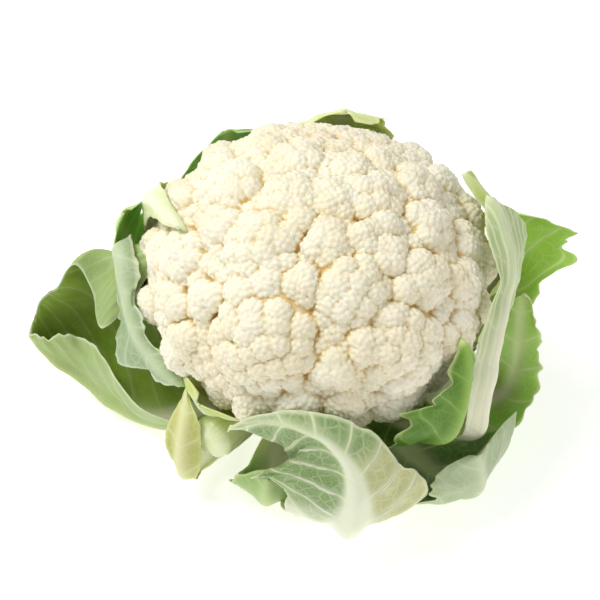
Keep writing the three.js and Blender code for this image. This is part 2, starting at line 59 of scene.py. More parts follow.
def direction(azimuth, tilt):
    flat = np.sin(tilt)
    return np.stack([np.cos(azimuth) * flat, np.sin(azimuth) * flat, np.cos(tilt) + 0 * azimuth], axis=-1)


def linearColour(hexColour):
    channels = [int(hexColour[i:i + 2], 16) / 255 for i in (1, 3, 5)]
    return [c / 12.92 if c < 0.04045 else ((c + 0.055) / 1.055) ** 2.4 for c in channels] + [1.0]


def writeFields(mesh, fields):
    # a number or a vector for each point of the mesh
    for key, values in fields.items():
        values = np.asarray(values, dtype=np.float32)
        kind, field = ("FLOAT", "value") if values.ndim == 1 else ("FLOAT_VECTOR", "vector")
        mesh.attributes.new(key, kind, "POINT").data.foreach_set(field, values.ravel())


def makePiece(name, points, triangles, fields):
    # points in millimetres, triangles as rows of three indices
    mesh = bpy.data.meshes.new(name)
    mesh.vertices.add(len(points))
    mesh.vertices.foreach_set("co", (np.asarray(points) * millimetre).astype(np.float32).ravel())
    mesh.loops.add(len(triangles) * 3)
    mesh.loops.foreach_set("vertex_index", np.asarray(triangles, dtype=np.int32).ravel())
    mesh.polygons.add(len(triangles))
    mesh.polygons.foreach_set("loop_start", np.arange(0, len(triangles) * 3, 3, dtype=np.int32))
    mesh.update(calc_edges=True)
    mesh.shade_smooth()
    writeFields(mesh, fields)
    piece = bpy.data.objects.new(name, mesh)
    scene.collection.objects.link(piece)
    return piece


def meshArrays(mesh, names):
    # a mesh back as millimetre points, triangles and the named fields
    points = np.empty(len(mesh.vertices) * 3, dtype=np.float32)
    mesh.vertices.foreach_get("co", points)
    mesh.calc_loop_triangles()
    triangles = np.empty(len(mesh.loop_triangles) * 3, dtype=np.int32)
    mesh.loop_triangles.foreach_get("vertices", triangles)
    found = {}
    for key in names:
        attribute = mesh.attributes[key]
        vector = attribute.data_type == "FLOAT_VECTOR"
        values = np.empty(len(mesh.vertices) * (3 if vector else 1), dtype=np.float32)
        attribute.data.foreach_get("vector" if vector else "value", values)
        found[key] = values.reshape(-1, 3) if vector else values
    return points.reshape(-1, 3) / millimetre, triangles.reshape(-1, 3), found


def triangleSides(triangles):
    return np.concatenate([triangles[:, [0, 1]], triangles[:, [1, 2]], triangles[:, [2, 0]]])


def ringFaces(rows, columns):
    # two triangles for each square of a grid that closes on itself sideways
    i, j = np.meshgrid(np.arange(rows), np.arange(columns), indexing="ij")
    a, b = i * columns + j, i * columns + (j + 1) % columns
    c, d = b + columns, a + columns
    return [np.stack([a, b, c], -1).reshape(-1, 3), np.stack([a, c, d], -1).reshape(-1, 3)]


def setInputs(tree, node, inputs):
    # a socket is linked, and anything else is the input's own value
    for key, value in inputs.items():
        if isinstance(value, bpy.types.NodeSocket):
            tree.links.new(value, node.inputs[key])
        else:
            node.inputs[key].default_value = value


def addNode(tree, kind, inputs=None, **settings):
    made = tree.nodes.new(kind)
    for key, value in settings.items():
        setattr(made, key, value)
    setInputs(tree, made, inputs or {})
    return made


def maths(tree, operation, *values):
    return addNode(tree, "ShaderNodeMath", dict(enumerate(values)), operation=operation).outputs[0]


def times(tree, first, second):
    return maths(tree, "MULTIPLY", first, second)


def vectorMaths(tree, operation, inputs):
    return addNode(tree, "ShaderNodeVectorMath", inputs, operation=operation).outputs[0]


def ramp(tree, value, low, high, toLow=0.0, toHigh=1.0):
    # a smooth step from low to high
    made = addNode(tree, "ShaderNodeMapRange", {0: value, 1: low, 2: high, 3: toLow, 4: toHigh})
    made.interpolation_type = "SMOOTHSTEP"
    return made.outputs[0]


def mixColours(tree, share, *colours):
    # colours are sockets, linear colours or hex codes
    first, second = (linearColour(c) if isinstance(c, str) else c for c in colours)
    return addNode(tree, "ShaderNodeMix", {0: share, 6: first, 7: second}, data_type="RGBA").outputs[2]


def storedField(tree, name, output="Fac"):
    return addNode(tree, "ShaderNodeAttribute", attribute_name=name).outputs[output]


def cloud(tree, place, scale, detail=2.0):
    noise = addNode(tree, "ShaderNodeTexNoise", {"Vector": place, "Scale": scale, "Detail": detail})
    return noise.outputs[0]


def objectPlace(tree):
    return addNode(tree, "ShaderNodeTexCoord").outputs["Object"]


def newMaterial(name):
    made = bpy.data.materials.new(name)
    made.use_nodes = True
    tree = made.node_tree
    return made, tree, tree.nodes["Principled BSDF"]


def newGeometryTree(name, inputs):
    # a tree with the geometry in and out, and a named input for each size
    tree = bpy.data.node_groups.new(name, "GeometryNodeTree")
    tree.interface.new_socket("Geometry", in_out="INPUT", socket_type="NodeSocketGeometry")
    for key, kind in inputs.items():
        tree.interface.new_socket(key, in_out="INPUT", socket_type="NodeSocket" + kind)
    tree.interface.new_socket("Geometry", in_out="OUTPUT", socket_type="NodeSocketGeometry")
    return tree, tree.nodes.new("NodeGroupInput"), tree.nodes.new("NodeGroupOutput")


def endTree(tree, start, end, geometry):
    real = addNode(tree, "GeometryNodeRealizeInstances", {0: geometry}).outputs[0]
    coated = addNode(tree, "GeometryNodeSetMaterial", {0: real, "Material": start.outputs["finish"]})
    tree.links.new(coated.outputs[0], end.inputs[0])


def runTree(piece, tree, values):
    # sets the inputs by their identifiers, and gives the result back as a plain mesh
    modifier = piece.modifiers.new(tree.name, "NODES")
    modifier.node_group = tree
    for socket in tree.interface.items_tree:
        if socket.in_out == "INPUT" and socket.name in values:
            modifier[socket.identifier] = values[socket.name]
    evaluated = piece.evaluated_get(bpy.context.evaluated_depsgraph_get())
    result = bpy.data.meshes.new_from_object(evaluated)
    piece.modifiers.remove(modifier)
    return result


# The curd: florets on a dome, lobes on the florets, knobs on the lobes and grains over all

curd = {
    "radius": 80,
    "rise": 62,
    "middle": 78,  # height of the rim's plane
    "bowl": 37,
    "under": 34,
    "fillFlorets": 84,
    "fillLimit": 107,
    "fillRadius": 13,
    "fillSmallest": 0.84,  # of that radius
    "fillVariety": 0.16,
    "backDip": 7,  # where a leaf looks over the head from behind
    "backWay": (80, 50),  # azimuth and tilt of that place
    "backSpread": 26,
    "swell": 2.2,  # how much further a larger floret stands out
    "keptFromOld": 0.82,  # spacing in radii of the floret that is there and of the new one
    "keptFromNew": 0.55,
    "coreDepth": 13,
    "flatness": 1.22,  # a floret's sphere against the radius that shows, before its lobes
    "bodySink": 3.6,  # the floret's own ball under its lobes
    "lobeSpread": 0.93,  # how far over the ball the lobes go, as a share of the radius
    "lobePitch": 9.2,
    "lobeRadius": 6.6,
    "lobeSink": 5.8,
    "rimSink": 6.7,  # at the floret's rim, where the lobes turn down
    "deepestCleft": 9.5,  # deeper places get a sprig of their own
    "sprigDepth": 5.0,
    "mostSprigs": 600,
    "sprigSizes": (0.85, 1.15),  # against a lobe
    "knobPitch": 2.75,
    "knobRadius": 1.75,
    "knobSink": 1.2,
    "knobCap": 84,
    "turnShake": 0.13,  # of the lobes, and half of it for the knobs
    "sizeShake": 0.07,
    "underKnobs": 0.12,  # the lobe's own ball under its knobs
    "grainSize": 1.5,
    "grainHeight": 0.12,
    "rows": 325,
    "lowestTilt": 112,
    "grooveRounds": 14,  # of evening: the more, the wider the creases that are coloured
    "cleftRounds": 90,
    "closing": 4,  # the pieces close this far under the middle
    "seed": 11,
}

# azimuth, tilt from the crown and radius of the florets that face the camera
seenFlorets = [
    (-36, 9, 13), (-164, 13, 15), (-113, 18, 6), (44, 22, 12), (114, 26, 15), (-2, 26, 17), (-80, 28, 13),
    (-49, 31, 11), (-28, 33, 7), (-132, 38, 20), (42, 40, 11), (166, 41, 18), (-164, 44, 12), (-44, 43, 11),
    (-98, 45, 9.5), (-117, 47, 9), (18, 47, 13), (-72, 50, 19), (-9, 50, 14), (-126, 54, 8), (-48, 55, 6),
    (-35, 58, 15), (-59, 62, 9), (-164, 63, 15), (-139, 63, 10), (-72, 68, 10), (-111, 70, 26), (-22, 73, 15),
    (-151, 73, 9), (-84, 74, 11), (-58, 77, 23), (-141, 81, 10), (-81, 88, 9), (-96, 90, 12), (-60, 97, 16),
    (-34, 84, 17), (-112, 96, 12),
]


def domeReach(tilt):
    # from the head's middle to its outline before the florets
    s, c = np.sin(tilt), np.cos(tilt)
    dome, bowl = (1 / np.hypot(s / curd["radius"], c / curd[key]) for key in ("rise", "bowl"))
    return np.where(c >= 0, dome, np.minimum(bowl, curd["under"] / np.maximum(-c, 1e-6)))


def makeFloret(azimuth, tilt, radius):
    azimuth, tilt = np.array(azimuth), np.array(tilt)
    axis = direction(azimuth, tilt)
    away = math.acos(np.clip(axis @ direction(*np.radians(curd["backWay"])), -1, 1))
    dipped = curd["backDip"] * math.exp(-((away / math.radians(curd["backSpread"])) ** 2))
    sphere = radius * curd["flatness"]
    pole = domeReach(tilt) + curd["swell"] * (radius / curd["fillRadius"] - 1) - dipped
    return {"axis": axis, "radius": radius, "sphere": sphere, "centre": axis * (pole - sphere)}


def makeFlorets():
    florets = [makeFloret(math.radians(a), math.radians(t), r) for a, t, r in seenFlorets]
    for k in range(1, curd["fillFlorets"]):
        tilt = math.radians(curd["fillLimit"]) * math.sqrt(k / curd["fillFlorets"])
        radius = curd["fillRadius"] * (curd["fillSmallest"] + curd["fillVariety"] * math.sin(k * 2.3))
        tried = makeFloret(k * goldenAngle, tilt, radius)
        reach = domeReach(np.array(tilt))
        room = curd["keptFromNew"] * radius
        gaps = [math.acos(np.clip(f["axis"] @ tried["axis"], -1, 1)) * reach for f in florets]
        if all(gap >= curd["keptFromOld"] * f["radius"] + room for gap, f in zip(gaps, florets)):
            florets.append(tried)
    return florets


def roundsOn(centre, axis, radius, pitch, sinks, size, cap, draw, shaken):
    # a golden spiral of smaller balls over the cap of a ball, shaken a little. The two sinks are how deep
    # their centres lie at the middle of the cap and at its rim
    area = 2 * math.pi * (1 - math.cos(math.radians(cap))) * radius ** 2
    packing = 0.87  # of each ball's share of the area to the pitch squared
    count = max(4, round(area / (packing * pitch ** 2)))
    k = np.arange(count)
    spread = math.radians(cap) * np.sqrt((k + 0.4) / count)
    turn = k * goldenAngle + draw.uniform(*anyTurn)
    turn = turn + draw.normal(0, curd["turnShake"] * shaken, count)
    side = unit(np.cross([0.31, -0.22, 0.92] if abs(axis[2]) < 0.9 else [1.0, 0.2, 0.1], axis))
    across = np.cross(axis, side)
    ways = np.cos(spread)[:, None] * axis
    ways = ways + np.sin(spread)[:, None] * (np.cos(turn)[:, None] * side + np.sin(turn)[:, None] * across)
    shake = draw.normal(0, curd["sizeShake"] * shaken, count)
    sizes = size * (0.88 + 0.16 * spread / math.radians(cap) + shake)
    sink = sinks[0] + (sinks[1] - sinks[0]) * (spread / math.radians(cap)) ** 3
    middles = centre + ways * (radius - sink * sizes / size)[:, None]
    return middles, ways, sizes


def raiseTo(reach, ways, tree, middles, sizes, widest=1.0):
    # the reach along each way becomes at least that of the sphere's far side
    for middle, size in zip(middles, sizes):
        far = float(np.linalg.norm(middle))
        chord = 2 * math.sin(math.asin(min(1.0, size / far)) / 2) * widest
        hits = [found[1] for found in tree.find_range(middle / far, chord)]
        if hits:
            on = ways[hits] @ middle
            room = np.maximum(size ** 2 - far ** 2 + on ** 2, 0)
            reach[hits] = np.maximum(reach[hits], on + np.sqrt(room))


def domeGrid(rows, lowest):
    # a round grid whose row i has 4 i places, so its facets stay near one size
    starts = [0] + [1 + 2 * i * (i - 1) for i in range(1, rows + 2)]
    azimuths, tilts = [np.zeros(1)], [np.zeros(1)]
    triangles = []
    for i in range(1, rows + 1):
        azimuths.append(np.arange(4 * i) * math.pi / (2 * i))
        tilts.append(np.full(4 * i, lowest * i / rows))
    for i in range(rows):
        inner = lambda j: starts[i] + j % max(4 * i, 1)
        outer = lambda j: starts[i + 1] + j % (4 * (i + 1))
        for quarter in range(4):
            j = np.arange(i + 1)
            a, b = inner(quarter * i + j), outer(quarter * (i + 1) + j)
            triangles.append(np.stack([a, b, outer(quarter * (i + 1) + j + 1)], axis=1))
            j = np.arange(i)
            a, b = inner(quarter * i + j), outer(quarter * (i + 1) + j + 1)
            triangles.append(np.stack([a, b, inner(quarter * i + j + 1)], axis=1))
    return direction(np.concatenate(azimuths), np.concatenate(tilts)), np.concatenate(triangles)


def evened(values, triangles, rounds):
    # the values after some rounds of taking the mean of the neighbours
    first, second = triangleSides(triangles).T
    many = len(values)
    neighbours = np.bincount(first, minlength=many) + np.bincount(second, minlength=many)
    for _ in range(rounds):
        total = np.bincount(first, values[second], many) + np.bincount(second, values[first], many)
        values = 0.5 * values + 0.5 * total / neighbours
    return values


def grainTree():
    # rounds off the knobs into small grains, along the surface's own normal
    tree, start, end = newGeometryTree(
        "curdGrain", {"grainSize": "Float", "grainHeight": "Float", "seed": "Float", "finish": "Material"}
    )
    place = tree.nodes.new("GeometryNodeInputPosition").outputs[0]
    moved = vectorMaths(tree, "ADD", {0: place, 1: start.outputs["seed"]})
    scale = maths(tree, "DIVIDE", 1.0, start.outputs["grainSize"])
    cells = addNode(tree, "ShaderNodeTexVoronoi", {"Vector": moved, "Scale": scale}, feature="F1")
    rounded = maths(tree, "SUBTRACT", 0.45, maths(tree, "POWER", cells.outputs["Distance"], 2.0))
    height = times(tree, rounded, start.outputs["grainHeight"])
    normal = tree.nodes.new("GeometryNodeInputNormal").outputs[0]
    offset = vectorMaths(tree, "SCALE", {0: normal, "Scale": height})
    grown = addNode(tree, "GeometryNodeSetPosition", {"Geometry": start.outputs[0], "Offset": offset})
    endTree(tree, start, end, grown.outputs[0])
    return tree


def curdMaterial():
    made, tree, shader = newMaterial("curdFlesh")
    hollow, groove, cleft = (storedField(tree, key) for key in ("hollow", "groove", "cleft"))
    place = objectPlace(tree)
    patches = cloud(tree, place, 38.0, 4.0)
    colour = mixColours(tree, ramp(tree, patches, 0.35, 0.7), "#f6f0da", "#f0e7c9")
    # painted shade: the creases between knobs, the clefts between lobes, and what is deep are coloured a
    # darker, warmer tan
    colour = mixColours(tree, ramp(tree, groove, 0.04, 0.6, 0, 0.7), colour, "#e0ca92")
    colour = mixColours(tree, ramp(tree, cleft, 0.5, 2.2, 0, 0.85), colour, "#d4b168")
    colour = mixColours(tree, ramp(tree, hollow, 0.38, 0.8, 0, 0.75), colour, "#c0944a")
    # painted reflection of the leaves: a little green low down; and a few brown specks
    height = addNode(tree, "ShaderNodeSeparateXYZ", {0: place}).outputs[2]
    low = ramp(tree, height, 0.075, 0.035)
    leafReflection = times(tree, low, ramp(tree, patches, 0.3, 0.6, 0.3, 0.8))
    colour = mixColours(tree, leafReflection, colour, "#dfe0ac")
    specks = addNode(tree, "ShaderNodeTexVoronoi", {"Vector": place, "Scale": 95.0}).outputs["Distance"]
    speckShare = times(tree, ramp(tree, specks, 0.085, 0.04), ramp(tree, patches, 0.56, 0.62))
    colour = mixColours(tree, times(tree, speckShare, 0.5), colour, "#9a7a48")
    grains = addNode(tree, "ShaderNodeTexVoronoi", {"Vector": place, "Scale": 850.0}, feature="SMOOTH_F1")
    fine = cloud(tree, place, 2600.0, 2.0)
    relief = maths(tree, "SUBTRACT", times(tree, fine, 0.35), grains.outputs["Distance"])
    bump = addNode(tree, "ShaderNodeBump", {"Height": relief, "Strength": 0.55, "Distance": 0.0004})
    setInputs(tree, shader, {
        "Base Color": colour, "Normal": bump.outputs[0], "Roughness": 0.62, "Specular IOR Level": 0.3,
        "Subsurface Weight": 0.35, "Subsurface Radius": (1.0, 0.72, 0.42), "Subsurface Scale": 0.0013,
    })
    return made


def buildCurd():
    draw = np.random.default_rng(curd["seed"])
    finish = curdMaterial()
    ways, triangles = domeGrid(curd["rows"], math.radians(curd["lowestTilt"]))
    tilt = np.arccos(np.clip(ways[:, 2], -1, 1))
    outline = domeReach(tilt)
    reach = outline - curd["coreDepth"]
    tree = KDTree(len(ways))
    for index, way in enumerate(ways):
        tree.insert(way, index)
    tree.balance()
    florets = makeFlorets()
    owner = np.argmax(ways @ np.array([f["axis"] for f in florets]).T, axis=1)
    for index, floret in enumerate(florets):
        before = reach.copy()
        ball = floret["sphere"] - curd["bodySink"]
        raiseTo(reach, ways, tree, [floret["centre"]], [ball], 0.9 / curd["flatness"])
        owner[reach > before] = index
    lobes = []
    for floret in florets:
        cap = math.degrees(math.asin(curd["lobeSpread"] / curd["flatness"]))
        lobes.append(roundsOn(
            floret["centre"], floret["axis"], floret["sphere"], curd["lobePitch"],
            (curd["lobeSink"], curd["rimSink"]), curd["lobeRadius"], cap, draw, 1.0,
        ))
    for middles, _, sizes in lobes:
        raiseTo(reach, ways, tree, middles, sizes - curd["underKnobs"])
    # small sprigs fill what is still deep between the florets
    filled = []
    allowed = tilt < math.radians(curd["fillLimit"])
    while len(filled) < curd["mostSprigs"]:
        hollow = np.where(allowed, outline - reach, 0)
        deepest = int(np.argmax(hollow))
        if hollow[deepest] < curd["deepestCleft"]:
            break
        size = curd["lobeRadius"] * draw.uniform(*curd["sprigSizes"])
        middle = ways[deepest] * (outline[deepest] - curd["sprigDepth"] - size)
        raiseTo(reach, ways, tree, [middle], [size - curd["underKnobs"]])
        filled.append((middle, ways[deepest], size))
    lobes.append(tuple(np.array(part) for part in zip(*filled)))
    smoothReach = reach.copy()
    print("curd:", len(florets), "florets and", sum(len(l[0]) for l in lobes), "lobes")
    knobs = 0
    for middles, axes, sizes in lobes:
        for middle, axis, size in zip(middles, axes, sizes):
            found = roundsOn(
                middle, axis, size, curd["knobPitch"], (curd["knobSink"],) * 2, curd["knobRadius"],
                curd["knobCap"], draw, 0.5,
            )
            raiseTo(reach, ways, tree, found[0], found[2])
            knobs += len(found[0])
    print("curd:", knobs, "knobs")
    points = ways * reach[:, None] + [0, 0, curd["middle"]]
    # how deep each place lies in its creases, clefts and hollows, for the painted shade that the curd's
    # material puts there
    groove = evened(reach, triangles, curd["grooveRounds"]) - reach
    cleft = evened(smoothReach, triangles, curd["cleftRounds"]) - reach
    hollow = (outline - reach) / curd["coreDepth"]
    dome = makePiece("curdDome", points, triangles, {"groove": groove, "cleft": cleft, "hollow": hollow})
    grained = runTree(dome, grainTree(), {
        "grainSize": curd["grainSize"] * millimetre,
        "grainHeight": curd["grainHeight"] * millimetre,
        "seed": float(curd["seed"]),
        "finish": finish,
    })
    points, triangles, fields = meshArrays(grained, ("groove", "cleft", "hollow"))
    normals = np.empty(len(points) * 3, dtype=np.float32)
    grained.vertices.foreach_get("normal", normals)
    normals = normals.reshape(-1, 3)
    bpy.data.objects.remove(dome)
    # parted along the clefts between florets, and closed to the head's middle
    azimuths = np.array([math.atan2(f["axis"][1], f["axis"][0]) for f in florets])
    owners = owner[triangles[:, 0]]
    order = np.argsort(azimuths)
    passed = np.cumsum(np.bincount(owners, minlength=len(florets))[order]) / len(triangles)
    quarter = np.empty(len(florets), dtype=int)
    quarter[order] = np.minimum(np.floor(passed * 4), 3)
    part = quarter[owners]
    for index, name in enumerate(("curd_front_left", "curd_front", "curd_right", "curd_back")):
        closeToMiddle(name, points, normals, triangles[part == index], fields, finish)
    buildUnderside(finish)


def closeToMiddle(name, points, normals, triangles, fields, finish):
    # one part of the dome, with walls from its rim to the middle
    ends = triangleSides(triangles)
    keys = np.sort(ends, axis=1)
    keys = keys[:, 0] * len(points) + keys[:, 1]
    _, index, count = np.unique(keys, return_index=True, return_counts=True)
    rim = ends[index[count == 1]]
    middle = len(points)
    walls = np.stack([rim[:, 1], rim[:, 0], np.full(len(rim), middle)], axis=1)
    faces = np.concatenate([triangles, walls])
    used, renumbered = np.unique(faces, return_inverse=True)
    allPoints = np.vstack([points, [[0, 0, curd["middle"] - curd["closing"]]]])
    values = {key: np.append(field, 1.0)[used] for key, field in fields.items()}
    piece = makePiece(name, allPoints[used], renumbered.reshape(-1, 3), values)
    # the whole dome's normals, so that the light runs on across the parting
    allNormals = np.vstack([normals, [[0, 0, -1]]])[used]
    piece.data.normals_split_custom_set_from_vertices(allNormals.tolist())
    piece.data.materials.append(finish)
    keepPiece(piece, "curd", "head")
    print("curd:", name, len(faces), "faces")


# tilts in degrees from the crown
underside = {
    "rows": 60, "columns": 360, "from": 103, "bareFrom": 106, "bareBy": 118, "smoothFrom": 126,
    "smoothBy": 146, "branches": 13, "branchDepth": 2.2, "wrinkleDepth": 0.35, "sink": 0.6,
}


def buildUnderside(finish):
    # the bowl under the florets, with the bases of their branches
    rows, columns, deep = underside["rows"], underside["columns"], underside["branchDepth"]
    tilt = np.radians(np.linspace(underside["from"], 180, rows + 1))[:, None]
    azimuth = (np.arange(columns) * 2 * math.pi / columns)[None, :]
    bareFrom, bareBy, smoothFrom, smoothBy = (
        math.radians(underside[key]) for key in ("bareFrom", "bareBy", "smoothFrom", "smoothBy")
    )
    under = np.clip((tilt - bareFrom) / (bareBy - bareFrom), 0, 1)
    fading = np.clip((smoothBy - tilt) / (smoothBy - smoothFrom), 0, 1)
    branches = deep * np.abs(np.sin(underside["branches"] / 2 * azimuth)) * fading
    wrinkles = np.sin(31 * azimuth + 5 * tilt) * np.sin(23 * tilt + 3 * np.sin(4 * azimuth))
    wrinkles = underside["wrinkleDepth"] * wrinkles * fading
    sunk = curd["coreDepth"] * underside["sink"] * (1 - under)
    reach = domeReach(tilt) - sunk + (branches - deep + wrinkles) * under
    ways = direction(azimuth + 0 * tilt, tilt + 0 * azimuth)
    points = (ways * reach[..., None] + [0, 0, curd["middle"]]).reshape(-1, 3)
    faces = [found[:, ::-1] for found in ringFaces(rows, columns)]
    j = np.arange(columns)
    faces.append(np.stack([j, (j + 1) % columns, np.full(columns, len(points))], -1))
    points = np.vstack([points, [[0, 0, curd["middle"] - curd["closing"]]]])
    # the same depth everywhere, so the whole underside gets an even, light share of the painted crease shade
    flat = np.full(len(points), 0.25)
    fields = {"groove": flat, "cleft": flat, "hollow": flat}
    piece = makePiece("curd_underside", points, np.concatenate(faces), fields)
    piece.data.materials.append(finish)
    keepPiece(piece, "curd", "head")


def keepPiece(piece, slotName, *nodes):
    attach(piece, "root")
    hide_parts(*nodes)


# The leaves: each is a sheet about a rib, with its veins, thick at the rib and thin at the margin

leafForm = {
    "cell": 1.25,  # size of the sheet's squares
    "blade": 0.8,
    "marginBlade": 0.45,
    "ribThickness": 9,
    "ribTipThickness": 0.9,
    "ribHalfWidth": 9,
    "ribTipHalfWidth": 3,
    "ribSpread": 1.6,
    "ribGroove": 0.5,  # depth and half width of the groove over the rib
    "ribGrooveWidth": 2.2,
    "foldLength": 0.14,
    "marginWidth": 8,  # over which the blade thins to its margin
    "edgeWidth": 1.6,  # of the pale line along the margin
    "rimBulge": 0.25,
    "tipFrom": 0.9,  # share of the length from which the tip is rounded
    "tipLength": 0.1,
    "veinPitch": 15,
    "veinReach": 0.9,
    "veinStep": 2.5,
    "veinTaper": 0.75,
    "fullVein": 26,  # width of the half from which its veins are full size
    "lastVein": 0.97,
    "veinSides": 5,
    "veinSink": 0.3,  # the tubes' middles lie this deep in the blade
    "veinWander": 1.6,
    "wanderLength": 60,
    "veinLean": 0.62,  # how far a side vein runs on for each millimetre that it runs out
    "veinCurve": 0.006,  # and how much more so further out
    "quilting": 0.7,
    "quiltFrom": 5,  # distance from the rib from which the blade is quilted, and how it grows
    "quiltGrowth": 10,
    "quiltMargin": 5,
    "crinkle": 0.22,
    "crinkleLength": 9,
    "undulation": 1.1,
    "undulationLength": 55,
    "ruffle": 1.3,
    "ruffleLength": 26,
    "fullRuffle": 20,  # width of the half from which its margin is fully ruffled
    "toothPitch": 6.5,
    "fullTeeth": 14,
    "stripePitch": 1.7,
    "lowest": 0.45,  # height kept over the ground
}

# what every leaf has unless it says otherwise
plainLeaf = {
    "teeth": 0.06, "toothCount": 5, "wave": 2, "waveCount": 2, "ragged": 1.2,
    "upper": "#86aa52", "lower": "#b3c795", "vein": "#d9e3b4", "pale": "#e9ecd0", "edge": "#d5dfae",
    "greenFrom": 0.2, "greenBy": 0.45, "netting": 0.3, "veining": 0.6, "leftGreen": 0, "rightGreen": 0,
    "lowerLeft": None, "veinSize": 0.55, "veinsFrom": 0.1, "veinStart": 2, "stripes": 0,
}

